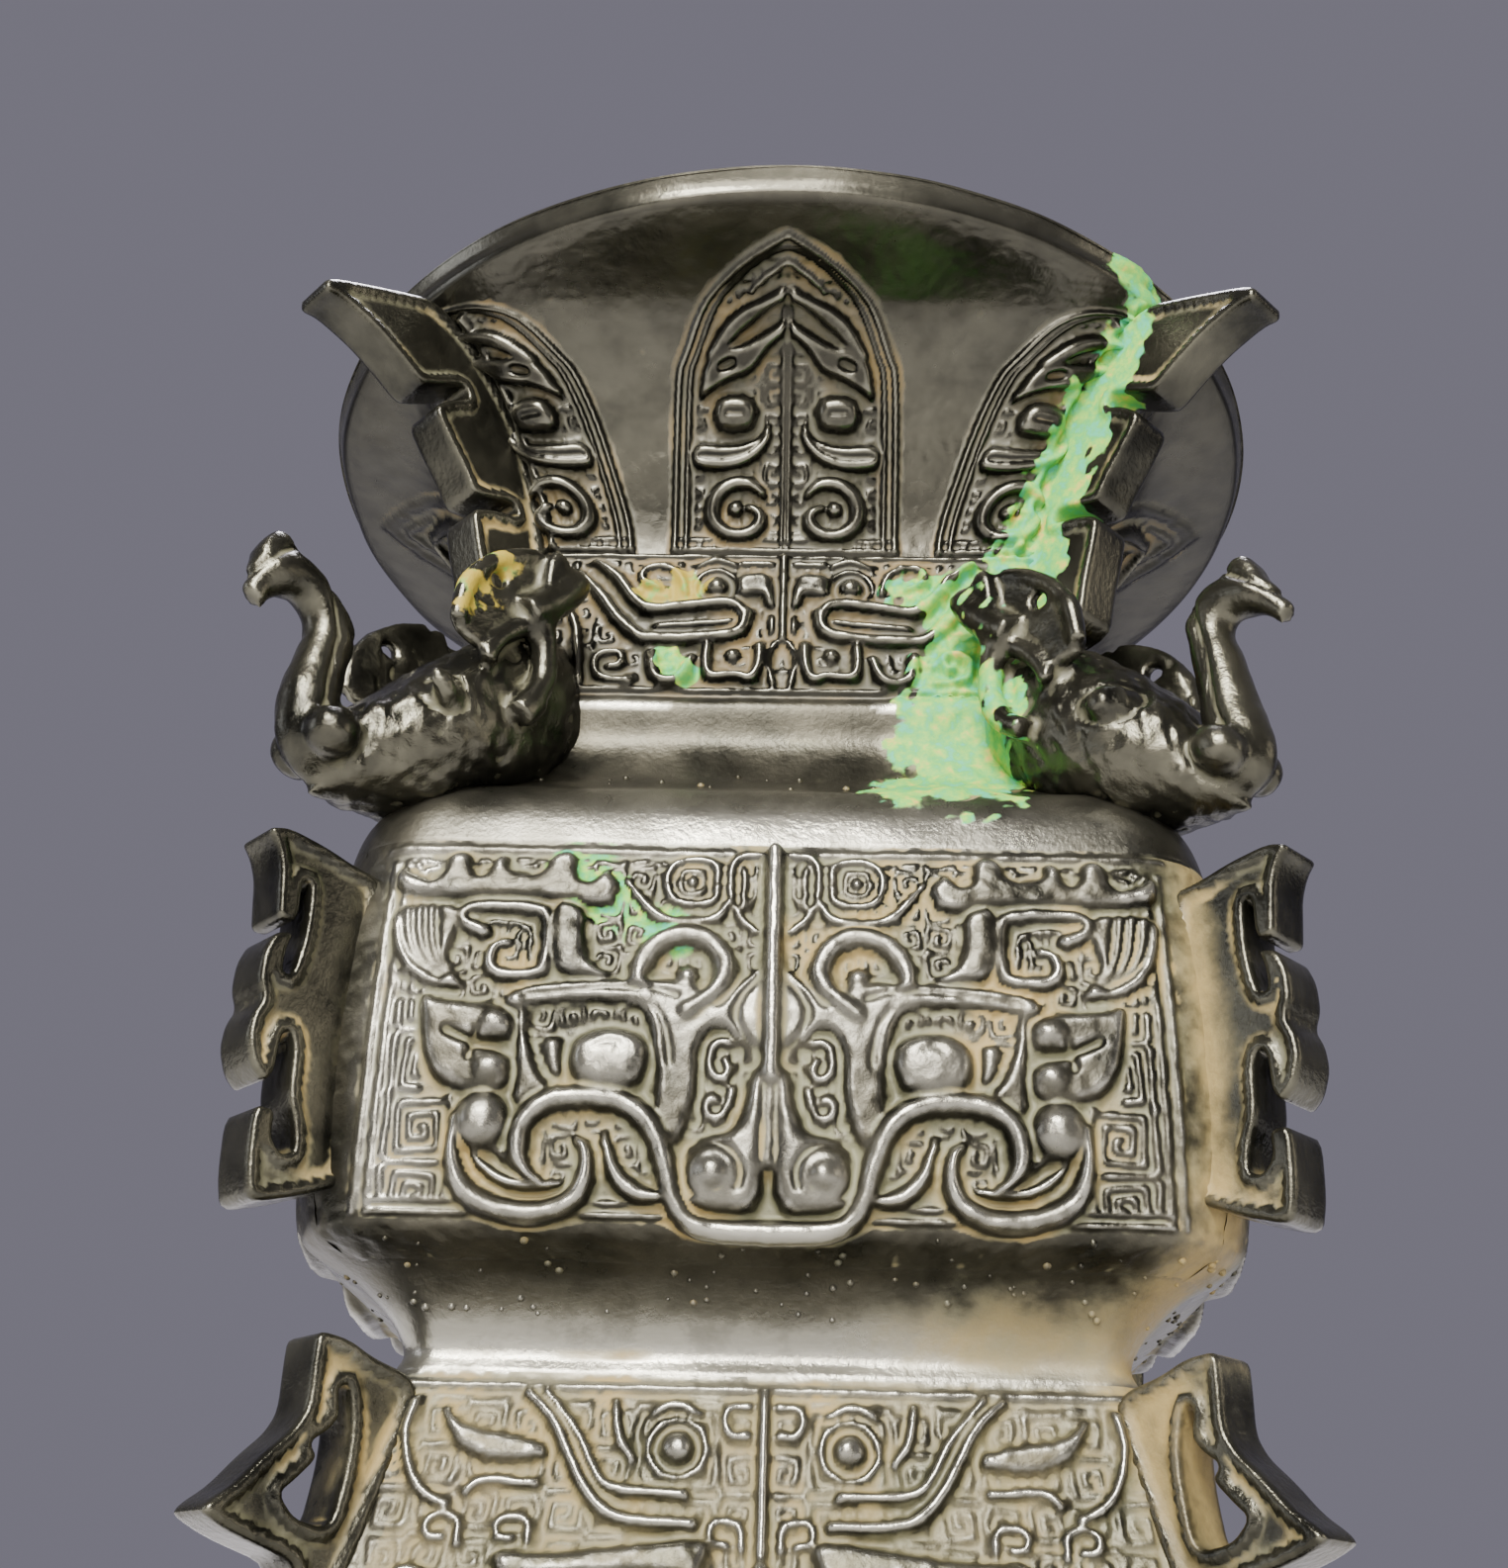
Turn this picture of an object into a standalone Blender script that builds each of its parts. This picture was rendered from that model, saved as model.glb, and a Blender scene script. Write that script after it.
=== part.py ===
"""A bronze zun, a square wine vessel on a splayed foot.

It has a round trumpet mouth, mask panels on its four faces, notched flanges on its corners
and an elephant's head with a bird-headed trunk on each shoulder. The vessel was cast in one
piece, so it is one solid, hollow and open at the top, with a hollow foot below its floor.
Lengths are metres. The ornament is drawn in millimetres on the flattened face, x from the
middle of the face and v up the panel, and stretches with the panel that carries it.
"""

import math

import bmesh
import bpy
from mathutils import Matrix, Vector
from mathutils.geometry import delaunay_2d_cdt

MM = 0.001

# Heights of the zones, from the ground up
FOOT_RISE = 0.042
UNDERSIDE_RISE = 0.015
BELLY_RISE = 0.0473
SHOULDER_RISE = 0.0343
BAND_RISE = 0.0247
FLARE_RISE = 0.0365
LIP_RISE = 0.0042

# Half widths, from the axis to a flat face
FOOT_HALF = 0.058
FOOT_TOP_HALF = 0.0455
WAIST_HALF = 0.0446
BELLY_HALF = 0.0594
BELLY_DRAFT = 0.0018
NECK_HALF = 0.042
MOUTH_RADIUS = 0.0815
LIP_FLARE = 0.0035

# Corner radii of the rounded square sections
FOOT_CORNER = 0.009
WAIST_CORNER = 0.005
BELLY_CORNER = 0.0125
NECK_CORNER = 0.008

# Thicknesses
WALL = 0.003
FLOOR = 0.004
LIP_WIDTH = 0.0026
BASE_BAND = 0.006
FLANGE_THICKNESS = 0.0076
EAR_THICKNESS = 0.0034

# Width of the drawings that the panels carry, at the size they are drawn for
BELLY_DRAWING = (59.4, 47.4)
BAND_DRAWING = (42.0, 24.7)
FOOT_DRAWING = (50.0, 37.9)
LEAF_DRAWING = (42.0, 55.5)

FOOT_TOP = FOOT_RISE
BELLY_BASE = FOOT_TOP + UNDERSIDE_RISE
BELLY_TOP = BELLY_BASE + BELLY_RISE
NECK_BASE = BELLY_TOP + SHOULDER_RISE
BAND_TOP = NECK_BASE + BAND_RISE
LIP_BASE = BAND_TOP + FLARE_RISE
HEIGHT = LIP_BASE + LIP_RISE
FOOT_CEILING = FOOT_TOP + 0.0025

# Columns of a square and of a round section, as shares of the way from a face's middle to its corner
SQUARE_COLUMNS = (-1.0, -0.86, -0.43, 0.0, 0.43, 0.86, 1.0)
ROUND_COLUMNS = (-1.0, -0.667, -0.333, 0.0, 0.333, 0.667, 1.0)


def mix(low, high, share):
    """The value a share of the way from low to high."""
    return low + (high - low) * share


def area(loop):
    """The signed area of a flat loop of points, positive when it runs anticlockwise."""
    return sum(a[0] * b[1] - b[0] * a[1] for a, b in zip(loop, loop[1:] + loop[:1])) / 2


# Each row of a profile is height, half width and corner radius


def foot_rows():
    """The splayed foot, from the ground to the waist."""
    shares = ((BASE_BAND, 0.93), (0.02, 0.43), (FOOT_RISE, 0.0))
    rows = [(0.0, FOOT_HALF, FOOT_CORNER)]
    for height, splay in shares:
        z = height * FOOT_RISE / 0.042
        half = mix(FOOT_TOP_HALF, FOOT_HALF, splay)
        rows.append((z, half, mix(WAIST_CORNER, FOOT_CORNER, splay)))
    return rows


def underside_rows():
    """From the waist out to the lower edge of the belly panels."""
    shares = ((0.0, None), (0.16, 0.0), (0.34, 0.08), (0.68, 0.46), (1.0, 1.0))
    rows = []
    for rise, spread in shares:
        z = mix(FOOT_TOP, BELLY_BASE, rise)
        if spread is None:
            rows.append((z, FOOT_TOP_HALF, WAIST_CORNER))
        else:
            half = mix(WAIST_HALF, BELLY_HALF - BELLY_DRAFT, spread)
            rows.append((z, half, mix(WAIST_CORNER, BELLY_CORNER, spread)))
    return rows


def belly_rows():
    """The nearly upright belly, fullest at half height."""
    return [
        (BELLY_BASE, BELLY_HALF - BELLY_DRAFT, BELLY_CORNER),
        (mix(BELLY_BASE, BELLY_TOP, 0.5), BELLY_HALF, BELLY_CORNER),
        (BELLY_TOP, BELLY_HALF - BELLY_DRAFT * 0.7, BELLY_CORNER),
    ]


def shoulder_rows():
    """The rounded shoulder, its ledge and the hollow moulding under the neck band."""
    shares = ((0.0, 0.0), (0.19, 0.08), (0.36, 0.3), (0.45, 0.6),
              (0.57, 0.86), (0.78, 1.0), (0.935, 0.94), (1.0, 1.0))
    rows = []
    for rise, step in shares:
        z = mix(BELLY_TOP, NECK_BASE, rise)
        half = mix(BELLY_HALF - BELLY_DRAFT * 0.7, NECK_HALF, step)
        rows.append((z, half, mix(BELLY_CORNER, NECK_CORNER, min(1.0, step))))
    return rows


def band_rows():
    """The upright neck band."""
    return [(NECK_BASE, NECK_HALF, NECK_CORNER), (BAND_TOP, NECK_HALF, NECK_CORNER)]


def flare_rows():
    """The trumpet, square below and nearly round under the lip."""
    shares = ((0.0, 0.0, 0.0), (0.42, 0.15, 0.09), (0.74, 0.375, 0.25),
              (0.896, 0.583, 0.424), (1.0, 1.0, 1.0))
    lip_half = MOUTH_RADIUS - LIP_FLARE
    rows = []
    for rise, spread, rounding in shares:
        z = mix(BAND_TOP, LIP_BASE, rise)
        rows.append((z, mix(NECK_HALF, lip_half, spread), mix(NECK_CORNER, lip_half * 0.95, rounding)))
    return rows


def inset(rows, wall):
    """The same profile moved inward by the wall, square to its slope."""
    moved = []
    for index, (z, half, corner) in enumerate(rows):
        before = rows[max(0, index - 1)]
        after = rows[min(len(rows) - 1, index + 1)]
        run = after[1] - before[1]
        rise = after[0] - before[0]
        length = math.hypot(run, rise)
        moved.append((z + wall * run / length, half - wall * rise / length, max(corner - wall, 0.0015)))
    return moved


class Zone:
    """One height zone of a face: turns x along the face and v up the profile into a point."""

    def __init__(self, rows):
        self.rows = rows
        self.steps = [0.0]
        for low, high in zip(rows, rows[1:]):
            self.steps.append(self.steps[-1] + math.hypot(high[0] - low[0], high[1] - low[1]))

    def section(self, v):
        """Height, half width and corner radius at v."""
        for index in range(len(self.rows) - 1):
            if v <= self.steps[index + 1] + 1e-9 or index == len(self.rows) - 2:
                share = (v - self.steps[index]) / (self.steps[index + 1] - self.steps[index])
                low, high = self.rows[index], self.rows[index + 1]
                return tuple(mix(low[axis], high[axis], share) for axis in range(3))
        return self.rows[-1]

    def corner_x(self, v):
        """Length along the face from its middle to the middle of its corner."""
        half, corner = self.section(v)[1:]
        return half - corner + corner * math.pi / 4

    def columns(self, v):
        """The places of the columns along the face at v, spaced evenly where the section is round."""
        half, corner = self.section(v)[1:]
        shares = zip(SQUARE_COLUMNS, ROUND_COLUMNS)
        return [mix(square, round_, corner / half) * self.corner_x(v) for square, round_ in shares]

    def slope(self, v):
        """Outward and downward parts of the normal at v."""
        reach = self.steps[-1] * 0.06
        low = self.section(max(0.0, v - reach))
        high = self.section(min(self.steps[-1], v + reach))
        length = math.hypot(high[0] - low[0], high[1] - low[1])
        return (high[0] - low[0]) / length, (low[1] - high[1]) / length

    def point(self, x, v, lift=0.0):
        """The point at x and v, raised off the face by the lift."""
        z, half, corner = self.section(v)
        flat = half - corner
        if abs(x) <= flat:
            across, depth, turn = x, half, 0.0
        else:
            turn = math.copysign((abs(x) - flat) / corner, x)
            across = math.copysign(flat, x) + corner * math.sin(turn)
            depth = flat + corner * math.cos(turn)
        if not lift:
            return Vector((across, -depth, z))
        out, up = self.slope(v)
        normal = Vector((out * math.sin(turn), -out * math.cos(turn), up))
        return Vector((across, -depth, z)) + lift * normal


class Shell:
    """Faces gathered for one side of the vessel and then turned round to the other three."""

    def __init__(self):
        self.mesh = bmesh.new()

    def face(self, points, turn):
        spin = Matrix.Rotation(turn * math.pi / 2, 3, "Z")
        self.mesh.faces.new([self.mesh.verts.new(spin @ point) for point in points])

    def plain(self, rows, inward=False):
        """A plain strip between rows, on all four sides."""
        zone = Zone(rows)
        for low, high in zip(zone.steps, zone.steps[1:]):
            bottom = [zone.point(x, low) for x in zone.columns(low)]
            top = [zone.point(x, high) for x in zone.columns(high)]
            for index in range(len(bottom) - 1):
                corners = bottom[index:index + 2] + top[index:index + 2][::-1]
                if inward:
                    corners.reverse()
                for turn in range(4):
                    self.face(corners, turn)

    def cap(self, row, upward):
        """A flat floor or ceiling closing a row."""
        zone = Zone([row, (row[0] + WALL, row[1], row[2])])
        centre = Vector((0.0, 0.0, row[0]))
        edge = [zone.point(x, 0) for x in zone.columns(0)]
        for left, right in zip(edge, edge[1:]):
            corners = [left, right, centre]
            if not upward:
                corners.reverse()
            for turn in range(4):
                self.face(corners, turn)

    def carved(self, rows, shapes, turn, drawing):
        """A panel with raised shapes; later shapes are laid over earlier ones."""
        zone = Zone(rows)
        wide = rows[0][1] / (drawing[0] * MM) if drawing[0] else 1.0
        tall = zone.steps[-1] / (drawing[1] * MM)
        coords, faces, edges = [], [], []

        def add(point):
            coords.append(Vector(point))
            return len(coords) - 1

        border = [add((x, 0.0)) for x in zone.columns(0)]
        border += [add((zone.corner_x(step), step)) for step in zone.steps[1:-1]]
        top = zone.steps[-1]
        border += [add((x, top)) for x in reversed(zone.columns(top))]
        border += [add((-zone.corner_x(step), step)) for step in reversed(zone.steps[1:-1])]
        faces.append(border)
        for step in zone.steps[1:-1]:
            edges.append((add((-zone.corner_x(step), step)), add((zone.corner_x(step), step))))
        for column in (1, -2):
            line = [add((zone.columns(step)[column], step)) for step in zone.steps]
            edges += list(zip(line, line[1:]))
        heights = [0.0]
        for lift, outline, side in shapes:
            placed = []
            for x, v in outline:
                v *= MM * tall
                placed.append(add((side * zone.corner_x(v) + x * MM * wide, v)))
            if area([coords[corner] for corner in placed]) < 0:
                placed.reverse()
            faces.append(placed)
            heights.append(lift * MM * wide)
        flat, _, tris, _, _, sources = delaunay_2d_cdt(coords, edges, faces, 0, 1e-6, True)
        self.lift(zone, flat, tris, sources, heights, turn)

    def lift(self, zone, flat, tris, sources, heights, turn):
        """Raise each triangle to its shape's height and wall the steps between them."""
        levels, around, sides = {}, {}, {}
        for index, (tri, inside) in enumerate(zip(tris, sources)):
            if 0 not in inside:
                continue
            level = heights[max(inside)]
            levels[index] = level
            for start, end in zip(tri, tri[1:] + tri[:1]):
                sides[(start, end)] = index
                around.setdefault(start, set()).add(level)
        for index, level in levels.items():
            self.face([zone.point(*flat[corner], level) for corner in tris[index]], turn)
        for (start, end), index in sides.items():
            other = sides.get((end, start))
            if other is None or levels[index] >= levels[other]:
                continue
            low, high = levels[index], levels[other]
            columns = []
            for corner in (start, end):
                met = sorted(level for level in around[corner] if low <= level <= high)
                columns.append([zone.point(*flat[corner], level) for level in met])
            self.ladder(*columns, turn)

    def ladder(self, left, right, turn):
        """Fill an upright wall between two columns of points with triangles."""
        first, second = 0, 0
        while first < len(left) - 1 or second < len(right) - 1:
            if second == len(right) - 1 or (first < len(left) - 1 and first <= second):
                self.face([left[first], left[first + 1], right[second]], turn)
                first += 1
            else:
                self.face([left[first], right[second + 1], right[second]], turn)
                second += 1


# Outlines of the ornament, each a list of x and v in millimetres


def mirrored(outline):
    """The outline on the other half of the face."""
    return [(-x, v) for x, v in outline]


def pair(lift, outline, side=0):
    """A shape on each half of the face, drawn from its middle, or from its corner if side is 1."""
    return [(lift, outline, side), (lift, mirrored(outline), -side)]


def middle(lift, outline):
    """A shape across the middle, drawn as its right half from the bottom up."""
    return [(lift, outline + [(-x, v) for x, v in reversed(outline) if x], 0)]


def stroke(path, width):
    """The outline of an even band along a path."""
    left, right = [], []
    for index, point in enumerate(path):
        before = Vector(path[max(0, index - 1)])
        after = Vector(path[min(len(path) - 1, index + 1)])
        here = Vector(point)
        into = (here - before).normalized() if index else (after - here).normalized()
        out = (after - here).normalized() if index < len(path) - 1 else into
        along = (into + out).normalized()
        side = Vector((-along.y, along.x)) * (width / 2 / max(0.6, along.dot(into)))
        left.append(tuple(here + side))
        right.append(tuple(here - side))
    return left + right[::-1]


def disc(x, v, radius, sides=8, squash=1.0):
    """A round boss."""
    turns = [math.tau * (index + 0.5) / sides for index in range(sides)]
    return [(x + radius * math.cos(turn), v + radius * squash * math.sin(turn)) for turn in turns]


def belly_mask(plain):
    """The mask on each belly panel: horns, brows, eyes, nose, lip and ears, with a dragon each side."""
    shapes = pair(1.9, stroke([(10, 26.4), (6.4, 30), (8, 34.8), (15, 34), (14.6, 30)], 2.0))
    shapes += pair(2.0, [(11, 25.6), (26.4, 25.2), (27.4, 23), (28.9, 27.5), (11, 27.9)])
    shapes += pair(2.0, [(7.2, 27.2), (6.9, 18), (8.8, 11.6), (12.6, 9.5), (11.2, 18), (10.8, 27.4)])
    shapes += pair(3.4, disc(19, 19.2, 4.3, 5 if plain else 8, 0.82))
    shapes += pair(2.3, stroke([(25.6, 6.8), (29.2, 10), (24.6, 14.5), (16, 13.4), (10.6, 3), (0, 1.7)], 2.3))
    shapes += middle(3.0, [(0, 10.4), (1.2, 10.4), (1.2, 19), (5.9, 25.2), (1.2, 30), (1.2, 46.4), (0, 46.4)])
    if plain:
        shapes += pair(1.7, [(27, 30.2), (27.4, 38.4), (47.4, 39.6), (46.5, 45.6), (21.3, 44.2)])
        shapes += pair(2.0, [(36.7, 12), (33.6, 3.4), (23, 2.6), (31.6, 6)])
        return shapes
    shapes += pair(2.0, stroke([(36.7, 11.4), (34.4, 4.2), (25.2, 2.4), (21.8, 8)], 2.4))
    crest = [(27, 30.2), (27.4, 39.4), (40, 39.6), (46.5, 41.5), (46.5, 45.5), (43, 43.4), (41, 46.4),
             (38, 43.8), (35.5, 46.4), (33, 44), (27.5, 46.4), (24.5, 42.6), (21.3, 44.6), (20.3, 41.5),
             (23.4, 39.2), (22.4, 31.5), (19.8, 30.2)]
    shapes += pair(1.7, crest)
    shapes += pair(1.7, [(47.6, 39.4), (47.4, 33.8), (45.2, 29.8), (38.3, 28.6), (41, 32.5), (39.4, 37)])
    shapes += pair(1.4, stroke([(36.8, 38.3), (29.4, 38.2), (28.8, 31), (33.4, 29.6), (34.6, 33)], 1.8))
    shapes += pair(2.0, [(43, 27), (33, 25.6), (32.1, 21.8), (36.3, 21), (32.2, 19.6), (32.6, 15.9),
                         (39.8, 16.4), (42.4, 22)])
    shapes += pair(1.6, [(31, 26.6), (29.6, 26.2), (28.6, 19.6), (25.6, 16), (28.8, 14.8), (31, 17.4)])
    shapes += pair(1.3, [(8, 38.8), (13.6, 38.8), (13.6, 46.2), (8, 46.2)])
    shapes += pair(1.6, stroke([(18.8, 9.4), (17.4, 6.4), (14.4, 5)], 1.7))
    shapes += pair(2.8, disc(33.8, 12.2, 2.9, 6))
    shapes += pair(2.8, disc(5.8, 6.3, 2.5, 6))
    return shapes


def foot_mask(plain):
    """Two dragons nose to nose above a plainer mask, on the foot."""
    shapes = pair(1.0, stroke([(30, 35.4), (25.6, 33), (19.5, 23.6), (8.4, 22.4)], 2.4))
    shapes += pair(2.2, disc(10, 29.2, 2.1, 5))
    shapes += pair(2.4, disc(17.5, 12.6, 3.4, 5, 0.8))
    if not plain:
        shapes += pair(1.2, [(10, 17.4), (24, 16.8), (26.4, 12.4), (26.6, 19.4)])
        shapes += middle(2.2, [(0, 4.4), (1.4, 4.4), (1.2, 20), (0, 20)])
        shapes += pair(1.4, stroke([(27.6, 4.4), (24, 7.4), (14.6, 7), (9, 3.2)], 1.8))
    return shapes


def neck_dragons(plain):
    """Two dragons facing each other, on the neck band."""
    shapes = pair(1.0, stroke([(30.5, 20.6), (22.6, 11.2), (7, 11.2)], 3.4))
    shapes += pair(2.0, disc(10.1, 18.2, 2.3, 5))
    if not plain:
        shapes += pair(0.9, [(19, 6.6), (12.8, 4), (12.8, 1.2), (19, 1.2)])
        shapes += pair(0.9, [(10.8, 7.6), (3.6, 7.6), (4.2, 1.4), (10.8, 1.4)])
        shapes += middle(1.1, [(0, 9.4), (0.8, 9.4), (0.8, 23.8), (0, 23.8)])
    return shapes


LEAF_HALF = [(17.2, 0.9), (17.2, 28), (11, 41.4), (0, 50.8)]


def leaves(plain):
    """A standing leaf in the middle of the face and half a leaf at each corner."""
    shapes = [(0.5, LEAF_HALF + mirrored(LEAF_HALF[-2::-1]), 0)]
    if not plain:
        shapes += middle(1.5, [(0, 41), (5, 35.6), (12.2, 30.6), (6.5, 38.4), (0, 46.6)])
        shapes += pair(1.4, [(4, 17), (7, 14.2), (13.8, 13.6), (13, 17.4)])
        shapes += pair(1.4, [(5, 3.6), (10.8, 4.4), (10.8, 10.6), (6, 11.6)])
        shapes += pair(1.9, disc(7.9, 20.6, 2.9, 5, 0.85))
    shapes += middle(1.5, [(0, 28), (13.2, 24.2), (9, 31.4), (0, 34)])
    shapes += pair(0.5, LEAF_HALF + mirrored(LEAF_HALF[-2::-1]), 1)
    if not plain:
        shapes += pair(1.7, [(-5.4, 19), (-9, 17.4), (-11.6, 20.4), (-8.6, 23.4)], 1)
    return shapes


def vessel():
    """The hollow vessel with its carved panels, before its flanges and heads."""
    shell = Shell()
    foot, flare = foot_rows(), flare_rows()
    shell.plain(foot[:2])
    shell.plain(underside_rows())
    shell.plain(shoulder_rows())
    rim = (HEIGHT, MOUTH_RADIUS, MOUTH_RADIUS * 0.999)
    inner_rim = (HEIGHT, MOUTH_RADIUS - LIP_WIDTH, (MOUTH_RADIUS - LIP_WIDTH) * 0.999)
    shell.plain([flare[-1], rim])
    shell.plain([rim, inner_rim])
    for turn in range(4):
        plain = turn > 0
        shell.carved(belly_rows(), belly_mask(plain), turn, BELLY_DRAWING)
        shell.carved(foot[1:], foot_mask(plain), turn, FOOT_DRAWING)
        shell.carved(band_rows(), neck_dragons(plain), turn, BAND_DRAWING)
        shell.carved(flare, leaves(plain), turn, LEAF_DRAWING)
    outer = underside_rows()[3:4] + belly_rows() + shoulder_rows()[2:5] + band_rows() + flare[1:]
    inner = inset(outer, WALL)
    floor = (FOOT_CEILING + FLOOR, inner[0][1] - WALL, inner[0][2])
    shell.plain([floor] + inner + [inner_rim], inward=True)
    shell.cap(floor, upward=True)
    hollow = inset(foot[1:], WALL)
    mouth = (0.0, FOOT_HALF - WALL, FOOT_CORNER - WALL)
    ceiling = (FOOT_CEILING, WAIST_HALF - WALL, 0.0025)
    shell.plain([mouth, hollow[0], hollow[1], ceiling], inward=True)
    shell.plain([mouth, foot[0]])
    shell.cap(ceiling, upward=False)
    bmesh.ops.remove_doubles(shell.mesh, verts=shell.mesh.verts, dist=2e-6)
    bmesh.ops.triangulate(shell.mesh, faces=shell.mesh.faces)
    return shell.mesh


# The flanges, drawn in the plane of a corner: millimetres out from the corner's surface, and height


def belly_flange():
    """Top hook, twin lobes and bottom hook outside a strip on the belly's corner."""
    return [(-1.5, 61.4), (5.5, 58.6), (11.3, 56.8), (11.3, 68.3), (8.4, 68.3), (8.8, 64.6), (5.8, 63.6),
            (6.8, 70.5), (6.6, 77.6), (8.2, 77.8), (8.8, 72.4), (11.8, 72.6), (12.6, 77.6), (10.9, 81.2),
            (12.5, 85.4), (11.2, 90), (8.8, 90.4), (9.4, 85.2), (8.1, 85.2), (7.5, 91), (8.1, 97.6),
            (9.4, 97.6), (8.9, 91.9), (11.5, 91.7), (12.6, 98), (15.6, 103.1), (12.9, 104), (7.4, 103.2),
            (2.8, 102), (-1.5, 101.4)]


def neck_flange():
    """A long horn under the lip and two blocks below it, on the neck's corner."""
    return [(-1.5, 147.5), (8.9, 148.5), (11.3, 157), (12.6, 164.7), (3.5, 167), (3.8, 169.6),
            (12.0, 167.6), (14.4, 173.6), (16.5, 179), (7.2, 183.4), (6.6, 185.8), (17.5, 181.8),
            (21.2, 185.5), (31.1, 188.3), (30.1, 190.5), (14.6, 195.3), (5.5, 197.6),
            (-1.5, 196.8), (-1.6, 190.3), (-1.6, 178.6), (-1.5, 163.5)]


def foot_flange():
    """A hook, a long flaring wing and a square block, on the foot's corner."""
    return [(-1.5, 5.4), (8.2, 5.8), (13.3, 15.6), (9.9, 15.6), (6.1, 10), (3.7, 10), (5.0, 19.6),
            (19.3, 23.9), (16.7, 27.2), (12.4, 33.4), (13.1, 39), (13.9, 44.4), (9.7, 44),
            (2.9, 41.2), (-1.5, 40.8), (-1.5, 34), (-1.5, 20)]


def foot_gap():
    """The opening between the foot flange's strip and its hook and wing."""
    return [(3.3, 23.4), (8.0, 24.1), (11.0, 26.6), (8.5, 30.6), (9.8, 32.2), (7.6, 35), (9.0, 38.4),
            (7.5, 38.4), (4.7, 32)]


EAR = [(72, 137.5), (71.6, 146.4), (62.5, 156.8), (57, 151.6), (53.4, 152), (59.2, 142), (58.6, 127.6),
       (63, 127)]


def corner_reach(row):
    """Distance from the axis to the corner of a section."""
    return math.sqrt(2) * (row[1] - row[2]) + row[2]


def reach_at(rows, z):
    """Distance from the axis to the corner of a profile at a height."""
    for low, high in zip(rows, rows[1:]):
        if z <= high[0]:
            break
    share = max(0.0, min(1.0, (z - low[0]) / (high[0] - low[0])))
    return mix(corner_reach(low), corner_reach(high), share)


def solid(name, mesh, turn=None):
    """A helper solid that is joined to the vessel, with its x axis turned to a corner."""
    bmesh.ops.recalc_face_normals(mesh, faces=mesh.faces)
    data = bpy.data.meshes.new(name)
    if turn is not None:
        mesh.transform(Matrix.Rotation(math.radians(turn), 4, "Z"))
    mesh.to_mesh(data)
    mesh.free()
    helper = bpy.data.objects.new(name, data)
    helper.hide_render = True
    helper.display_type = "WIRE"
    helpers.objects.link(helper)
    return helper


def plate(mesh, outline, gaps, middle_y, thickness):
    """A flat plate standing in the corner plane, centred on the given distance beside it."""
    coords, faces = [], []
    for loop in [outline] + gaps:
        faces.append(list(range(len(coords), len(coords) + len(loop))))
        coords += [Vector(point) for point in (loop if area(loop) > 0 else loop[::-1])]
    flat, _, tris, _, _, sources = delaunay_2d_cdt(coords, [], faces, 0, 1e-6, True)
    sides = []
    for offset in (-thickness / 2, thickness / 2):
        sides.append([mesh.verts.new((r, middle_y + offset, z)) for r, z in flat])
    edges = set()
    for tri, inside in zip(tris, sources):
        if inside != [0]:
            continue
        mesh.faces.new([sides[0][corner] for corner in tri])
        mesh.faces.new([sides[1][corner] for corner in reversed(tri)])
        edges.update(zip(tri, tri[1:] + tri[:1]))
    for start, end in edges:
        if (end, start) not in edges:
            mesh.faces.new([sides[0][end], sides[0][start], sides[1][start], sides[1][end]])
    loose = [vert for vert in mesh.verts if not vert.link_faces]
    bmesh.ops.delete(mesh, geom=loose, context="VERTS")


def carried(outline, rows, drawn):
    """Stand a drawing on the corner of a profile, stretched from its drawn heights over the rows."""
    low, high = rows[0][0], rows[-1][0]
    scale = (high - low) / (drawn[1] - drawn[0])
    stood = []
    for off, z in outline:
        height = low + (z - drawn[0]) * scale
        stood.append((reach_at(rows, height) + off * scale, height))
    return stood


def flanges():
    """The three flanges that stand one above another on each corner."""
    belly = carried(belly_flange(), belly_rows(), (57.0, 104.3))
    neck = carried(neck_flange(), band_rows() + flare_rows()[1:], (138.6, 199.8))
    foot = carried(foot_flange(), foot_rows(), (0.0, 42.0))
    gap = carried(foot_gap(), foot_rows(), (0.0, 42.0))
    for index in range(4):
        for name, outline, gaps in (("belly", belly, []), ("neck", neck, []), ("foot", foot, [gap])):
            mesh = bmesh.new()
            plate(mesh, outline, gaps, 0.0, FLANGE_THICKNESS)
            solid(f"{name}_flange_{index}", mesh, 45 + 90 * index)


def loft(mesh, rings):
    """Skin a row of closed rings and cap both ends."""
    rows = [[mesh.verts.new(point) for point in ring] for ring in rings]
    count = len(rows[0])
    for low, high in zip(rows, rows[1:]):
        for index in range(count):
            after = (index + 1) % count
            mesh.faces.new([low[index], low[after], high[after], high[index]])
    mesh.faces.new(rows[0][::-1])
    mesh.faces.new(rows[-1])


def tube(mesh, path, sides, squash=1.0):
    """A tapering tube along a path of distance, height and radius in the corner plane."""
    rings = []
    for index, (r, z, radius) in enumerate(path):
        before, after = path[max(0, index - 1)], path[min(len(path) - 1, index + 1)]
        along = Vector((after[0] - before[0], after[1] - before[1])).normalized()
        ring = []
        for side in range(sides):
            turn = math.tau * (side + 0.5) / sides
            out = radius * math.cos(turn)
            ring.append((r - along.y * out, radius * squash * math.sin(turn), z + along.x * out))
        rings.append(ring)
    loft(mesh, rings)


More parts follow.
